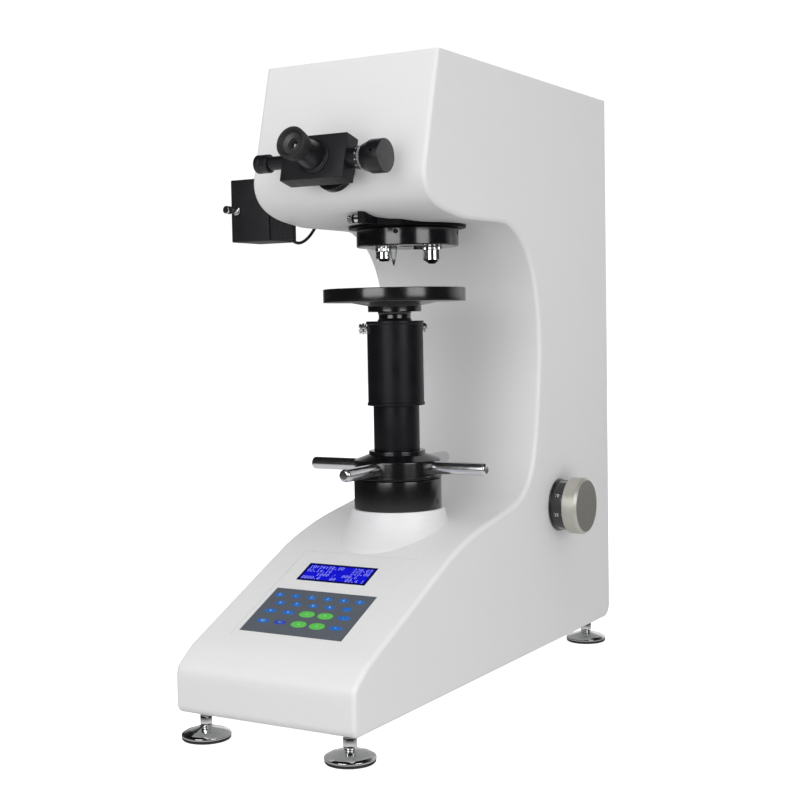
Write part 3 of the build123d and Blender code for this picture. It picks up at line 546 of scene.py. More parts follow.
OPT_S = -4.0
OPT = e_place(0, OPT_S, 0)                       # eyepiece axis
MIC = place(in_e(0, OPT_S, 30.0), (1, 0, 0), UPF)       # micrometer axis, z to the right
ZER = place(in_e(0, -2.5, 30.0), (1, 0, 0), UPF)
SA = math.radians(24.54)
FPL = Matrix((Vector((1, 0, 0)), Vector((0, math.cos(SA), math.sin(SA))), Vector((0, -math.sin(SA), math.cos(SA))))).transposed().to_4x4()
FPL.translation = V(0, 101, 87.8 + 71 * math.tan(SA))    # panel frame: x right, y up the slope, z out


# ---------------------------------------------------- which body has a node
NB = {}
for _b, _ns in frame["record"]["behaviour"]["bodies"].items():
    for _n in _ns:
        NB[_n] = _b
COVERED = set()


def swap(name, me, m, mats, node, sharp=38.0):
    """A piece that stands for one CAD node and rides on that node's body."""
    o = add(name, me, m, NB[node], mats, [node], sharp)
    COVERED.add(node)
    return o


def turned(name, pts, m, mats, node, seg=96, k=4, shape=None, mat_of=None, sharp=38.0):
    return swap(name, lathe_mesh(name, pts, seg, k, shape, mat_of), m, mats, node, sharp)


def knurl(n, depth, r_min, z0=-1e9, z1=1e9):
    def f(r, z, t):
        return r + depth * (0.5 * math.cos(n * t) - 0.5) if r >= r_min and z0 <= z <= z1 else r
    return f


def hexed(r_hex, z0, z1, also=None):
    """Turns the ring at r_hex between z0 and z1 into a hexagon."""
    def f(r, z, t):
        if abs(r - r_hex) < 1e-6 and z0 <= z <= z1:
            a = (t + math.pi / 6) % (math.pi / 3) - math.pi / 6
            return r * math.cos(math.pi / 6) / math.cos(a)
        return also(r, z, t) if also else r
    return f


def axial(me, radius, turn_deg, z_mid, cone=0.0):
    """Wraps flat figures on a cylinder about Z so that they read along the axis."""
    bm = bmesh.new()
    bm.from_mesh(me)
    for v in bm.verts:
        t = math.radians(turn_deg) - v.co.y / (radius / 1000.0)
        r = radius / 1000.0 + v.co.z + v.co.x * cone
        v.co = Vector((r * math.cos(t), r * math.sin(t), z_mid / 1000.0 + v.co.x))
    out = bpy.data.meshes.new("axial")
    bm.to_mesh(out)
    bm.free()
    return out


def tick_mesh(w, h, depth=0.05):
    bm = bmesh.new()
    n = 4
    for i in range(n):
        x0, x1 = -w / 2 + w * i / n, -w / 2 + w * (i + 1) / n
        vs = [bm.verts.new(Vector(p) / 1000.0) for p in ((x0, -h / 2, depth), (x1, -h / 2, depth), (x1, h / 2, depth), (x0, h / 2, depth),
                                                        (x0, -h / 2, -depth), (x1, -h / 2, -depth), (x1, h / 2, -depth), (x0, h / 2, -depth))]
        for f in ((0, 1, 2, 3), (7, 6, 5, 4), (0, 4, 5, 1), (1, 5, 6, 2), (2, 6, 7, 3), (3, 7, 4, 0)):
            bm.faces.new([vs[k] for k in f])
    me = bpy.data.meshes.new("tick")
    bm.to_mesh(me)
    bm.free()
    return me


# ------------------------------------------------------------------- column
turned("column_collar_turned", [(13.05, 150), (29.9, 150), (29.9, 189.85), (44.3, 189.85, .7), (44.3, 220, .8), (31, 220, .4), (31, 198),
                                (19.05, 198), (19.05, 165), (13.05, 165)], AXZ, BLACK, "column_collar", seg=144)
cs = place((44.1 * math.cos(math.radians(4)), 240 + 44.1 * math.sin(math.radians(4)), 197.5),
           (math.cos(math.radians(4)), math.sin(math.radians(4)), 0), (0, 0, 1))
add("collar_set_screw", lathe_mesh("collar_set_screw", [(0, -0.5), (1.0, -0.5), (1.0, 0.6), (2.6, 0.6, .3), (2.6, -1.2), (0, -1.2)], 48,
                                   shape=hexed(1.0, -1, 1)), cs, "root", EYEFACE)
turned("handwheel_hub_turned", [(20, 220.5), (43, 220.5), (44.9, 221.2, .3), (44.9, 223.2, .4), (43.75, 224, .3), (43.6, 239.0, 1.8),
                                (28.6, 244.6, .4), (28.6, 248.2, .6), (13.8, 248.2), (13.8, 242.05), (20, 242.05)],
       AXZ, BLACK, "handwheel_hub", seg=144, k=6)
for i in range(4):
    a = math.radians(90 * i)
    turned("handwheel_spoke_%d" % (i + 1), [(0, 24), (6.4, 24, .3), (6.4, 101.4, 3.4), (0, 101.4)],
           place((0, 240, 231.8), (math.cos(a), math.sin(a), 0), (0, 0, 1)), SPOKE, "handwheel_spokes", seg=64, k=8)
turned("lower_sleeve_turned", [(21.2, 248.25), (23.2, 248.25, .2), (23.2, 316, .6), (21.2, 316)], AXZ, SLEEVE, "lower_sleeve", seg=128)
turned("upper_sleeve_turned", [(26, 294), (29.1, 294, .4), (29.1, 296.6, .5), (28.3, 297.4), (28.3, 375.4), (29.05, 376.2, .3),
                               (29.05, 378.8, .4), (26, 378.8)], AXZ, SLEEVE, "upper_sleeve", seg=128)
turned("elevating_screw_turned", [(0, 79), (12, 79, .3), (13, 80), (13, 352), (20.9, 360.3), (25.9, 360.3), (25.9, 378.8), (17.6, 378.8),
                                  (17.2, 380.0, .4), (16.2, 381.5, .3), (16.2, 385.2, .3), (17, 387), (17, 388), (8.05, 388), (8.05, 365.5),
                                  (0, 365.5)],
       AXZ, [STEEL, BLACK], "elevating_screw", seg=112, mat_of=lambda r, z: 1 if z > 359 else 0)
turned("test_table_turned", [(0, 366), (8, 366, .3), (8, 388), (26.4, 388, .5), (27, 388.6), (27, 394.2, .4), (30, 394.7), (44, 397.4, 2),
                             (71.9, 397.9, .9), (71.9, 411.5, 1.0), (0, 411.5)], AXZ, [BLACK, STEEL], "test_table", seg=192,
       mat_of=lambda r, z: 1 if z < 387.9 else 0)
for i, ang in enumerate((210.0, 62.0)):
    a = math.radians(ang)
    m = place((0, 240, 371.5), (math.cos(a), math.sin(a), 0), (0, 0, 1))
    head = lathe_mesh("s", [(0, 26.6), (2.3, 26.6), (2.3, 28.9), (5.4, 28.9, .3), (5.4, 30.0, .3), (3.6, 30.0), (3.6, 30.7), (5.5, 30.7, .4),
                            (5.5, 33.2, .5), (4.2, 33.3), (4.2, 34.0), (5.1, 34.0, .4), (5.1, 36.0, 1.0), (0, 36.9)], 72,
                      shape=knurl(18, 0.5, 5.45))
    o = swap("sleeve_screw_%d" % (i + 1), head, m, CHROME, "sleeve_screws")
    cut(o, [loose(box_mesh("slot", -0.6, 0.6, -7, 7, 35.2, 38, 0), m)])

# ------------------------------------------------------------------- turret
disc = turned("turret_disc_turned", [(9.05, 455.0), (51.2, 454.0, .4), (52.2, 455.0, .4), (52.2, 471.3, .5), (51.5, 472.0), (9.05, 472.0)],
              TUR, BLACKT, "turret_disc", seg=168)
cutters = []
SETS = ((-73.0, 467.6), (17.0, 467.6), (107.0, 467.6), (-163.0, 467.6))
for ang, z in SETS:
    a = math.radians(ang)
    cutters.append(loose(lathe_mesh("h", [(0, 49.2), (2.6, 49.2), (2.6, 56), (0, 56)], 40),
                         place((0, 268.5, z), (math.cos(a), math.sin(a), 0), (0, 0, 1))))
cut(disc, cutters)
for i, (ang, z) in enumerate(SETS):
    a = math.radians(ang)
    add("turret_set_screw_%d" % (i + 1), lathe_mesh("g", [(0, 49.3), (1.2, 49.3), (1.2, 50.4), (2.35, 50.4, .3), (2.35, 48.6), (0, 48.6)], 48,
                                                    shape=hexed(1.2, 49, 51)),
        place((0, 268.5, z), (math.cos(a), math.sin(a), 0), (0, 0, 1)), "turret", HOLE)
add("turret_blank_plug", lathe_mesh("p", [(0, 452.4), (8.0, 452.4, .7), (8.0, 456.0), (0, 456.0)], 64), place((0, 297, 0)), "turret", BLACK)
turned("objective_low_power_turned", [(0, 441.4), (2.4, 441.4), (2.4, 440.2, .1), (5.4, 440.2, .3), (8.2, 443.0, .4), (8.2, 446.2, .1), (7.9, 446.4),
                                      (7.9, 446.9), (8.2, 447.1), (8.2, 450.2, .1), (8.7, 450.4, .3), (8.7, 453.9), (8.0, 453.9), (8.0, 470), (0, 470)],
       place((-28.5, 268.5, 0)), [CHROME, LENS], "objective_low_power", seg=120, shape=knurl(30, 0.3, 8.65, 450, 454),
       mat_of=lambda r, z: 1 if (r < 2.4 and z < 442) else 0)
turned("objective_high_power_turned", [(0, 437.2), (2.0, 437.2), (2.0, 436.0, .1), (3.4, 436.0, .3), (8.9, 439.3, .8), (9.3, 439.9, .3), (9.3, 445.6, .1),
                                       (9.0, 445.8), (9.0, 446.4), (9.3, 446.6), (9.3, 449.9, .2), (9.95, 450.2, .3), (9.95, 453.9, .3),
                                       (8.0, 453.9), (8.0, 470), (0, 470)],
       place((28.5, 268.5, 0)), [CHROME, LENS], "objective_high_power", seg=160, shape=knurl(40, 0.45, 9.6, 450, 454),
       mat_of=lambda r, z: 1 if (r < 2.0 and z < 438) else 0)
turned("indenter_turned", [(0, 434.0), (0.5, 434.4), (2.6, 441.5, 3), (3.9, 449.0, 4), (4.5, 452.0), (4.5, 474.0), (9.0, 474.0, .3), (9.0, 476.0, .3),
                           (0, 476.0)], AXZ, CHROME, "indenter", seg=72)

stop = place((0, 168.0, 477.6), (-1, 0, 0), (0, 0, 1))
screw = add("turret_stop_screw", lathe_mesh("t", [(0, -5.9), (4.2, -5.9), (4.2, -1.0, .2), (3.3, -0.6), (3.3, 1.4), (4.3, 1.8, .3), (4.3, 6.5, .9), (0, 6.9)], 72,
                                            shape=knurl(26, 0.25, 4.25, 2.0, 5.8)), stop, "root", CHROME)
cut(screw, [loose(box_mesh("slot", -0.55, 0.55, -6, 6, 5.7, 9, 0), stop @ rot("Z", 25))])

# ------------------------------------------------------ selector on the right
SELF = place((0, 426, 174.7), (1, 0, 0), (0, 0, 1))
turned("selector_ring_turned", [(5, 95.4), (28.6, 95.4, .4), (28.6, 96.9, .4), (27.2, 97.4), (27.2, 98.4, .1), (26.9, 98.6), (26.9, 99.1), (27.2, 99.3, .1),
                                (27.2, 110.9, .3), (5, 110.9)], SELF, BLACK, "selector_ring", seg=144)
# the knob's end face takes the darker copy of the anodise: painted shade
turned("selector_knob_turned", [(5.0, 111.0), (30.0, 111.0, .4), (30.5, 111.6), (30.5, 125.0, .5), (28.2, 127.7, .5), (27.4, 128.0, .3), (0, 128.0),
                                (0, 122.1), (5.0, 122.1)], SELF, [CHAMP, CHAMP_SHADED_FACE], "selector_knob", seg=160,
       mat_of=lambda r, z: 1 if z > 127.8 else 0)
figs = []
for i, s in enumerate(("10", "25", "50", "100", "200", "300", "500", "1000")):
    figs.append((axial(text_mesh(s, 5.2 if len(s) < 4 else 4.6), 27.22, 62 + 45 * i, 103.6 if len(s) < 3 else 104.0), ID, 0))
    figs.append((axial(tick_mesh(1.6, 0.5), 27.22, 62 + 45 * i, 109.7), ID, 0))
add("selector_figures", joined("selector_figures", figs), SELF, NB["selector_ring"], WHITEINK)

# ---------------------------------------------------------- eyepiece and box
turned("microscope_tube_turned", [(8, -66), (12.4, -66, .3), (12.4, 0.5), (20.6, 0.5, .4), (20.6, 7.5, 1.2), (15.2, 7.5, .6), (15.0, 19.9), (8, 19.9)],
       OPT, MATTET, "microscope_tube", seg=128)
mb = swap("micrometer_box_milled", box_mesh("micrometer_box_milled", -36, 33, -24.5, 17.9, 20.2, 40, 0.9, 4), e_place(), MATTE, "micrometer_box")
cut(mb, [loose(box_mesh("c", -27, 24, -13, 5, 25, 35, 0), e_place()),
         loose(lathe_mesh("c", [(0, 10), (8, 10), (8, 50), (0, 50)], 64), OPT),
         loose(lathe_mesh("c", [(0, 20), (4, 20), (4, 40), (0, 40)], 48), MIC),
         loose(lathe_mesh("c", [(0, -50), (4.05, -50), (4.05, -20), (0, -20)], 48), ZER)])
for i, (sx, ss) in enumerate(((-31.5, 13.6), (28.5, 13.6), (-31.5, -20.2), (28.5, -20.2))):
    add("box_screw_%d" % (i + 1), lathe_mesh("b", [(0, 19.0), (1.7, 19.0), (1.7, 19.9, .2), (0, 20.1)], 32), e_place(sx, ss, 0), "micrometer", STEEL)
turned("eyepiece_barrel_turned", [(8.2, 40.05), (16.0, 40.05, .2), (16.0, 41.5, .3), (14.9, 41.7), (14.6, 42.1), (14.6, 43.0, .2), (13.8, 43.4),
                                  (13.2, 50, 3), (12.0, 58, 3), (11.6, 66.0), (8.2, 66.0)], OPT, MATTET, "eyepiece_barrel", seg=128)
turned("eyepiece_cup_turned", [(5.4, 66.2), (13.2, 66.2, .3), (13.7, 66.8), (14.9, 75.4, 2), (15.2, 79.0, .7), (14.3, 80.0, .4), (12.6, 80.0, .5),
                               (11.0, 77.2, .4), (9.9, 76.0, .3), (5.6, 74.2, .2), (5.4, 73.6)], OPT, [RUBBER, EYEFACE], "eyepiece_cup", seg=144,
       mat_of=lambda r, z: 1 if (r < 10.4 and z > 72) else 0)
turned("eye_lens_ground", [(0, 69.0), (5.35, 69.0), (5.35, 73.2, .2), (4.1, 73.4), (3.9, 73.0), (3.0, 73.6, 2), (1.6, 74.2, 2), (0, 74.5)], OPT,
       [EYEFACE, LENS], "eye_lens", seg=72, mat_of=lambda r, z: 1 if (r < 4.0 and z > 72.8) else 0)
turned("zero_knob_turned", [(0, -71), (8.0, -71, .6), (8.8, -70.0, .4), (8.8, -65.4, .2), (8.3, -65.0), (8.3, -64.2), (8.8, -63.8, .2), (8.8, -56.6, .4),
                            (8.2, -56), (6.5, -56), (6.5, -36.3), (4.0, -36.3), (4.0, -27.5), (0, -27.5)], ZER, MATTET, "zero_knob", seg=128,
       shape=knurl(64, 0.22, 8.7, -63.6, -56.8))
turned("scale_sleeve_turned", [(3.6, 26), (4.0, 26), (4.0, 33.05), (9.5, 33.05, .3), (9.5, 41.6), (10.9, 42.0, .2), (10.9, 47.6, .3), (3.6, 47.6)],
       MIC, MATTET, "scale_sleeve", seg=128)
drum = turned("micrometer_drum_turned", [(0, 9.7), (2.0, 9.7), (2.0, 26.5), (3.55, 26.5), (3.55, 47.9), (11.8, 47.9, .2), (15.4, 57.2, .5), (15.6, 57.8),
                                         (15.6, 70.3, .2), (14.9, 71.0, .2), (0, 71.0)], MIC, [MATTET, GREYEND], "micrometer_drum", seg=168,
              mat_of=lambda r, z: 1 if z > 70.9 else 0)
cut(drum, [loose(lathe_mesh("c", [(0, 12.5), (1.3, 12.5), (1.3, 20), (0, 20)], 32),
                 place(in_e(63.5, OPT_S, 30.0), Vector(NRM), (1, 0, 0)))])
marks = []
for i in range(60):
    long = i % 5 == 0
    marks.append((axial(tick_mesh(1.9 if long else 1.2, 0.34), 10.92, i * 6.0, 47.35 - (0.95 if long else 0.6)), ID, 0))
for i in range(12):
    marks.append((axial(text_mesh(str(i % 10), 2.6), 10.92, i * 30.0, 43.9), ID, 0))
add("sleeve_graduations", joined("sleeve_graduations", marks), MIC, NB["scale_sleeve"], WHITEINK)
marks = []
for i in range(100):
    marks.append((axial(tick_mesh(1.5 if i % 10 == 0 else 0.9, 0.22), 12.3 if i % 10 == 0 else 12.15, i * 3.6, 49.05 if i % 10 == 0 else 48.7, 0.387), ID, 0))
add("drum_graduations", joined("drum_graduations", marks), MIC, NB["micrometer_drum"], WHITEINK)

# --------------------------------------------------------------------- lamp
lh = swap("lamp_housing_folded", box_mesh("lamp_housing_folded", -174, -126.4, 203, 253, 463.5, 528, 1.1, 4), place((0, 0, 0)), MATTE, "lamp_housing")
cut(lh, [loose(box_mesh("c", -172, -128.4, 205, 251, 465.5, 526, 0), place((0, 0, 0))),
         loose(lathe_mesh("c", [(0, -135), (9.6, -135), (9.6, -120), (0, -120)], 64), place((0, 240, 494), (1, 0, 0), (0, 0, 1))),
         loose(lathe_mesh("c", [(0, 200), (2.55, 200), (2.55, 206), (0, 206)], 48), place((-165.8, 0, 496), (0, 1, 0), (1, 0, 0))),
         loose(lathe_mesh("c", [(0, -135), (2.1, -135), (2.1, -120), (0, -120)], 40), place((0, 226, 471), (1, 0, 0), (0, 0, 1)))])
turned("lamp_thumbscrew_turned", [(0, 183.0), (3.4, 183.0, .3), (4.2, 183.7), (4.2, 189.6, .3), (3.9, 190.2), (2.2, 190.6), (2.2, 200.0), (4.6, 200.4, .3),
                                  (4.6, 202.8, .3), (2.5, 202.8), (2.5, 208.0), (0, 208.0)], place((-165.8, 0, 496), (0, 1, 0), (1, 0, 0)), CHROME,
       "lamp_thumbscrew", seg=144, shape=knurl(28, 0.45, 4.1, 183.8, 189.5))
LEAD = [(-127.5, 226, 471), (-119, 226, 469.5), (-111, 231.5, 459.5), (-105.5, 245.0, 466.5), (-102.0, 258.5, 484.0), (-90.5, 262, 489)]
cu = bpy.data.curves.new("lead", "CURVE")
cu.dimensions = "3D"
sp = cu.splines.new("NURBS")
sp.points.add(len(LEAD) - 1)
for p, q in zip(sp.points, LEAD):
    w = V(*q)
    p.co = (w.x, w.y, w.z, 1.0)
sp.order_u = 3
sp.use_endpoint_u = True
sp.resolution_u = 14
cu.bevel_depth = 0.0016
cu.bevel_resolution = 6
cu.use_fill_caps = True
tmp = bpy.data.objects.new("lead", cu)
bpy.context.scene.collection.objects.link(tmp)
bpy.context.view_layer.update()
lead_me = bpy.data.meshes.new_from_object(tmp.evaluated_get(bpy.context.evaluated_depsgraph_get()))
bpy.data.objects.remove(tmp)
lead_me.materials.clear()
swap("lamp_lead", lead_me, ID, RUBBER, "lamp_cable", 60)
add("lead_grommet", lathe_mesh("g", [(1.65, -1.6), (3.4, -1.6, .5), (3.4, -0.2), (2.3, 0.6, .2), (1.65, 0.6)], 48),
    place((-126.2, 226, 470.9), (-1, 0, 0.14), (0, 0, 1)), "root", RUBBER)

# -------------------------------------------------------------------- panel
ov = swap("panel_film", box_mesh("panel_film", -65.8, 61.8, -65.8, 74.8, -1.0, -0.12, 0.12, 1), FPL, FILM, "panel_overlay")
cut(ov, [loose(box_mesh("c", -48.75, 29.15, 26.35, 55.65, -3, 3, 0), FPL), loose(box_mesh("c", -60.65, 51.65, -58.15, 11.15, -3, 3, 0), FPL)])
swap("lcd_glass", box_mesh("lcd_glass", -48.65, 29.05, 26.45, 55.55, -1.0, -0.2, 0.08, 1), FPL, NAVY, "lcd_window")
add("lcd_field", box_mesh("lcd_field", -45.8, 26.2, 29.3, 52.8, -0.3, -0.19, 0), FPL, "root", LCD)
FONT = {"0": "0E11131519110E", "1": "040C040404040E", "2": "0E11010204081F", "3": "1F02040201110E", "4": "02060A121F0202",
        "5": "1F101E0101110E", "6": "0608101E11110E", "7": "1F010204080808", "8": "0E11110E11110E", "9": "0E11110F01020C",
        ".": "00000000000C0C", ":": "000C0C000C0C00", "/": "00010204081000", "-": "0000001F000000", "+": "0004041F040400",
        "=": "00001F001F0000", "*": "00041504150400"}
ROWS = ("10:24:50.00   238.05", "02.14.16      223.00", "    1000 /  000.6   ", "0000.0   00   00.4 1")
bm = bmesh.new()
CW, PH = 3.56, 5.95
for r, row in enumerate(ROWS):
    for c, ch in enumerate(row):
        if ch not in FONT:
            continue
        for j in range(7):
            bits = int(FONT[ch][2 * j:2 * j + 2], 16)
            for i in range(5):
                if bits >> (4 - i) & 1:
                    x0 = -44.9 + c * CW + i * 0.52
                    y0 = 51.9 - r * PH - j * 0.66
                    v = [bm.verts.new(Vector((x0 + a, y0 - b, z)) / 1000.0) for z in (-0.2, -0.14) for a, b in ((0, 0), (0.36, 0), (0.36, 0.42), (0, 0.42))]
                    for f in ((0, 1, 2, 3), (7, 6, 5, 4), (0, 4, 5, 1), (1, 5, 6, 2), (2, 6, 7, 3), (3, 7, 4, 0)):
                        bm.faces.new([v[q] for q in f])
me = bpy.data.meshes.new("lcd_dots")
bm.to_mesh(me)
bm.free()
add("lcd_dots", me, FPL, "root", PIXEL)


def key_mesh(x, y, w, h, z0=-0.9, z1=0.22, n=40):
    """A pillow-topped oval key."""
    prof = [(1.0, z0), (1.0, z1 - 0.22), (0.96, z1 - 0.08), (0.86, z1), (0.45, z1 + 0.03), (0.0, z1 + 0.04)]
    verts, faces = [], []
    for f, z in prof[:-1]:
        for i in range(n):
            t = 2 * math.pi * i / n
            e = 0.96                      # a little squarer than an ellipse
            cxx, syy = math.cos(t), math.sin(t)
            px = math.copysign(abs(cxx) ** e, cxx) * (w / 2 - (1 - f) * h / 2)
            py = math.copysign(abs(syy) ** e, syy) * f * h / 2
            if f < 0.5:
                px, py = cxx * w / 2 * 0.4, syy * h / 2 * 0.4
            verts.append(((x + px) / 1000, (y + py) / 1000, z / 1000))
    verts.append((x / 1000, y / 1000, prof[-1][1] / 1000))
    rings = len(prof) - 1
    for r in range(rings - 1):
        for i in range(n):
            j = (i + 1) % n
            faces.append((r * n + i, r * n + j, (r + 1) * n + j, (r + 1) * n + i))
    top = (rings - 1) * n
    for i in range(n):
        faces.append((top + i, top + (i + 1) % n, len(verts) - 1))
    faces.append(tuple(range(n))[::-1])
    me = bpy.data.meshes.new("key")
    me.from_pydata(verts, [], faces)
    return me


def sign_mesh(kind, x, y, s=1.3):
    pts = {"right": [(-0.6, -0.8), (0.8, 0), (-0.6, 0.8)], "left": [(0.6, 0.8), (-0.8, 0), (0.6, -0.8)],
           "up": [(-0.8, -0.6), (0.8, -0.6), (0, 0.8)], "down": [(0.8, 0.6), (-0.8, 0.6), (0, -0.8)]}[kind]
    return prism_mesh("sign", [(x + p[0] * s, y + p[1] * s) for p in pts], 0.15, 0.29, 0, 1)


swap("keypad_plate", box_mesh("keypad_plate", -60.5, 51.5, -58.0, 11.0, -1.0, -0.12, 0.15, 1), FPL, SLATE, "keypad_film")
KEYS = []
for i, kx in enumerate((-51, -32.7, -14.8, 3.4, 21.0, 38.7)):
    KEYS.append((kx, 0.3, 10.2, 6.4, 0, "012345"[i]))
for i, kx in enumerate((-42.7, -24.4, -5.7, 12.6, 31.4)):
    KEYS.append((kx, -12.0, 10.2, 6.4, 0, "6789."[i]))
for kx, w, h, c, s in ((-45.9, 13, 6.4, 0, "left"), (-25.6, 13, 6.4, 0, "right"), (-4.7, 16.5, 9.4, 1, "up"), (15.4, 16.5, 9.4, 1, "down"), (35.6, 14, 6.4, 0, "-")):
    KEYS.append((kx, -25.2, w, h, c, s))
for kx, w, h, c, s in ((-44.7, 13.5, 6.4, 0, "00"), (-25.3, 13.5, 6.4, 2, "+/-"), (-4.4, 16.5, 9.4, 1, "left"), (15.6, 16.5, 9.4, 1, "right"), (35.8, 14, 6.4, 0, "+")):
    KEYS.append((kx, -40.9, w, h, c, s))
for c, (nm, mt) in enumerate((("keys_blue", BLUEKEY), ("keys_green", GREENKEY), ("keys_indigo", INDIGOKEY))):
    add(nm, joined(nm, [(key_mesh(k[0], k[1], k[2], k[3]), ID, 0) for k in KEYS if k[4] == c]), FPL, "root", mt, sharp=60)
for nm, sel, mt in (("legends_light", lambda k: k[4] != 1, LEGEND), ("legends_green", lambda k: k[4] == 1, LEGENDG)):
    parts = []
    for kx, ks, w, h, c, s in KEYS:
        if not sel((kx, ks, w, h, c, s)):
            continue
        if s in ("left", "right", "up", "down"):
            parts.append((sign_mesh(s, kx, ks), ID, 0))
        else:
            parts.append((text_mesh(s, 4.2, 0.1), shift(kx, ks, 0.22), 0))
    add(nm, joined(nm, parts), FPL, "root", mt)

# --------------------------------------------------------------------- feet
for node, sx, yy, turn_deg in (("foot_front_left", -1, 18.2, 8), ("foot_front_right", 1, 18.2, 34), ("foot_rear_left", -1, 537.7, 51),
                               ("foot_rear_right", 1, 537.7, 20)):
    m = place((sx * 77.9, yy, 0))
    disc_m = lathe_mesh("f", [(0, 2.6), (22.3, 2.6, .3), (22.8, 3.2, .3), (22.75, 4.8, .7), (20.4, 6.5, 3), (15.2, 8.3, 8), (9.2, 9.7, 5), (6.4, 10.4, 1),
                              (5.2, 10.9, .4), (5.6, 11.9, 1.2), (4.6, 13.2), (0, 13.2)], 128, 5)
    hexa = prism_mesh("h", [(6.2 * math.cos(math.radians(60 * i + turn_deg)), 6.2 * math.sin(math.radians(60 * i + turn_deg))) for i in range(6)],
                      12.9, 22.0, 0.5, 3)
    stud = lathe_mesh("s", [(0, 21.5), (4.0, 21.5), (4.0, 45.4, .6), (0, 46)], 48)
    sole = lathe_mesh("r", [(0, 0), (21.6, 0, .6), (22.5, 0.9, .3), (22.5, 2.6), (0, 2.6)], 112)
    swap(node + "_turned", joined(node, [(disc_m, ID, 0), (hexa, ID, 0), (stud, ID, 0), (sole, ID, 1)]), m, [CHROME, RUBBER], node)

# ------------------------------------------------------------- cover screws
IWM = 84.5 - 6.0


def screw_head(seg=60):
    return lathe_mesh("c", [(0, -1.5), (1.45, -1.5), (1.45, -0.2, .05), (3.3, -0.2, .3), (3.6, -0.6), (3.6, -2.4), (2.0, -2.4), (2.0, -16), (0, -16)], seg,
                      shape=hexed(1.45, -1.6, -0.1))


parts = []
for sx in (-1, 1):
    for yy in (200, 540):
        parts.append((screw_head(), place((sx * IWM, yy, 630)), None))
    for zz in (60, 330, 582.5):
        parts.append((screw_head(), place((sx * IWM, 572, zz), (0, 1, 0), (1, 0, 0)), None))
    for yy in (60, 290, 500):
        parts.append((screw_head(), place((sx * IWM, yy, 25.2), (0, 0, -1), (1, 0, 0)), None))
swap("cover_screws_cut", joined("cover_screws_cut", parts), ID, ZINC, "cover_screws")

# ------------------------------------------------ finishes on the CAD nodes
for node, mt in (("body_casting", PAINT), ("base_plate", COVER), ("top_cover", COVER), ("rear_cover", COVER), ("lcd_module", PLASTIC),
                 ("control_board", PCB), ("power_supply", ALLOY), ("power_entry", PLASTIC), ("switch_rocker", PLASTIC), ("thrust_ball_cage", BRONZE),
                 ("elevating_nut", BRONZE), ("turret_mount", MOUNT), ("load_yoke", STEEL), ("lever_bracket", ALLOY), ("load_lever", STEEL),
                 ("weight_hanger", STEEL), ("load_weights", IRON), ("weight_lifter", ALLOY), ("lifter_guide_rods", STEEL), ("selector_shaft", STEEL),
                 ("loading_motor", ALLOY), ("loading_cam", STEEL), ("optical_block", MATTE), ("beam_splitter", GLASS), ("reticle_carriage", ALLOY),
                 ("lamp_bracket", MATTE), ("lamp_bulb", GLASS)):
    set_mat(node, mt)
    COVERED.add(node)
left = sorted(set(NODES) - COVERED)
if left:
    raise RuntimeError("nodes with no finish: %s" % left)

# --------------------------------------------------------- light adjustments
FLOOR_GLOW = 0.80
# name, place, aim, width, height, power, seen in reflections, lights matt surfaces
LIGHTS = (
    ("box_front", (-0.05, -1.65, 0.95), (0.02, -0.05, 0.95), 0.94, 1.25, 14.0, True, False),
    ("box_right", (1.45, -0.72, 0.95), (0.02, -0.05, 0.95), 0.78, 1.25, 10.4, True, False),
    ("fill_front", (-0.05, -1.65, 0.44), None, 1.00, 1.35, 6.8, False, True),
    ("fill_right", (1.45, -0.72, 0.22), None, 0.82, 1.35, 8.4, False, True),
    ("top_fill", (0.1, -0.45, 1.9), None, 1.6, 1.6, 11.2, False, True),
    ("fill_back", (-0.7, 1.6, 0.8), None, 1.3, 1.3, 5.5, False, True),
)
GLOSS_UP = ((0.0, 0.0), (0.44, 0.0), (0.49, 1.0), (0.66, 1.0), (0.80, 0.25), (1.0, 0.22))
GLOSS_DOWN = ((0.0, 0.75), (0.30, 0.70), (0.44, 0.04), (0.5, 0.0))
GLOSS_BACK = ((0.0, 0.02), (0.78, 0.04), (0.93, 0.85), (1.0, 0.9))
WORLD_DIFF = ((0.0, 0.40), (0.5, 0.50), (1.0, 0.55))

# -------------------------------------------------------- floor and lighting
bm = bmesh.new()
bmesh.ops.create_grid(bm, x_segments=8, y_segments=8, size=6.0)
me = bpy.data.meshes.new("floor")
bm.to_mesh(me)
bm.free()
floor = bpy.data.objects.new("floor", me)
floor.location = (0, 0, -0.0004)
bpy.context.scene.collection.objects.link(floor)
fm = bpy.data.materials.new("studio_floor")
fm.use_nodes = True
nt, b = nodes_of(fm)
ftc = nt.nodes.new("ShaderNodeTexCoord").outputs["Object"]
nt.links.new(mix_color(nt, noise_node(nt, ftc, 3.0), (0.90, 0.90, 0.90), (0.93, 0.93, 0.93)), b.inputs["Base Color"])
b.inputs["Roughness"].default_value = 0.85
b.inputs["Specular IOR Level"].default_value = 0.1
b.inputs["Emission Color"].default_value = (1, 1, 1, 1)
b.inputs["Emission Strength"].default_value = FLOOR_GLOW
me.materials.append(fm)
floor.visible_diffuse = False
floor.visible_glossy = False
floor.visible_shadow = False


def soft_box(name, at, aim, w, h, power, glossy, diffuse, color=(1, 1, 1)):
    ld = bpy.data.lights.new(name, "AREA")
    ld.shape = "RECTANGLE"
    ld.size, ld.size_y = w, h
    ld.energy = power
    ld.color = color
    lo = bpy.data.objects.new(name, ld)
    bpy.context.scene.collection.objects.link(lo)
    d = (Vector(aim) - Vector(at)).normalized()
    z = -d
    x = Vector((0, 0, 1)).cross(z)
    x = x.normalized() if x.length > 1e-6 else Vector((1, 0, 0))
    m = Matrix((x, z.cross(x), z)).transposed().to_4x4()
    m.translation = Vector(at)
    lo.matrix_world = m
    lo.visible_glossy = glossy
    lo.visible_diffuse = diffuse
    lo.visible_camera = False
    return lo


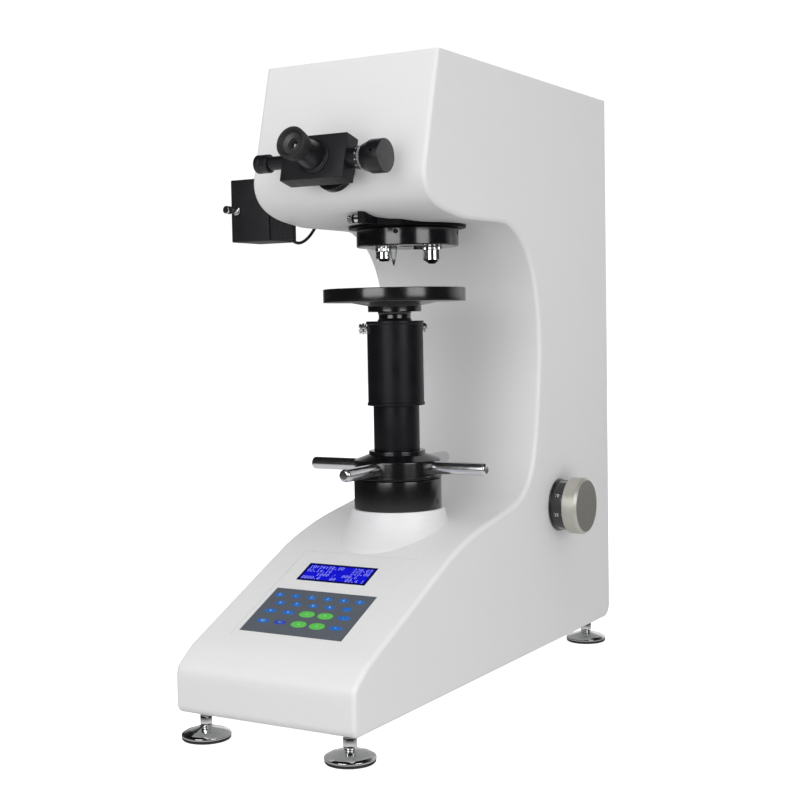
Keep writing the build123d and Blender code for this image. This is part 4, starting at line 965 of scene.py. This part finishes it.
AIM = (0.02, -0.05, 0.33)
for args in LIGHTS:
    soft_box(args[0], args[1], args[2] if args[2] else AIM, *args[3:])

world = bpy.data.worlds.new("studio")
bpy.context.scene.world = world
world.use_nodes = True
wn = world.node_tree
wn.nodes.clear()
out = wn.nodes.new("ShaderNodeOutputWorld")
tcw = wn.nodes.new("ShaderNodeTexCoord")
sep = wn.nodes.new("ShaderNodeSeparateXYZ")
wn.links.new(tcw.outputs["Generated"], sep.inputs[0])


def ramp(nt, v, stops):
    r = nt.nodes.new("ShaderNodeValToRGB")
    nt.links.new(v, r.inputs[0])
    while len(r.color_ramp.elements) < len(stops):
        r.color_ramp.elements.new(0.5)
    for e, (p, c) in zip(r.color_ramp.elements, stops):
        e.position = p
        e.color = (c, c, c, 1)
    return r.outputs[0]


zn = math_node(wn, "MULTIPLY_ADD", sep.outputs[2], 0.5, 0.5)
yn = math_node(wn, "MULTIPLY_ADD", sep.outputs[1], 0.5, 0.5)
gl = wn.nodes.new("ShaderNodeBackground")
behind = mix_color(wn, 1.0, ramp(wn, zn, GLOSS_UP), ramp(wn, yn, GLOSS_BACK), "MULTIPLY")
wn.links.new(mix_color(wn, 1.0, behind, ramp(wn, zn, GLOSS_DOWN), "LIGHTEN"), gl.inputs[0])
gl.inputs[1].default_value = 1.0
df = wn.nodes.new("ShaderNodeBackground")
wn.links.new(ramp(wn, math_node(wn, "MULTIPLY_ADD", sep.outputs[2], 0.5, 0.5), WORLD_DIFF), df.inputs[0])
df.inputs[1].default_value = 1.0
cb = wn.nodes.new("ShaderNodeBackground")
cb.inputs[0].default_value = (1, 1, 1, 1)
cb.inputs[1].default_value = 1.05
lp = wn.nodes.new("ShaderNodeLightPath")
m1 = wn.nodes.new("ShaderNodeMixShader")
wn.links.new(lp.outputs["Is Glossy Ray"], m1.inputs[0])
wn.links.new(df.outputs[0], m1.inputs[1])
wn.links.new(gl.outputs[0], m1.inputs[2])
m2 = wn.nodes.new("ShaderNodeMixShader")
wn.links.new(lp.outputs["Is Camera Ray"], m2.inputs[0])
wn.links.new(m1.outputs[0], m2.inputs[1])
wn.links.new(cb.outputs[0], m2.inputs[2])
wn.links.new(m2.outputs[0], out.inputs[0])
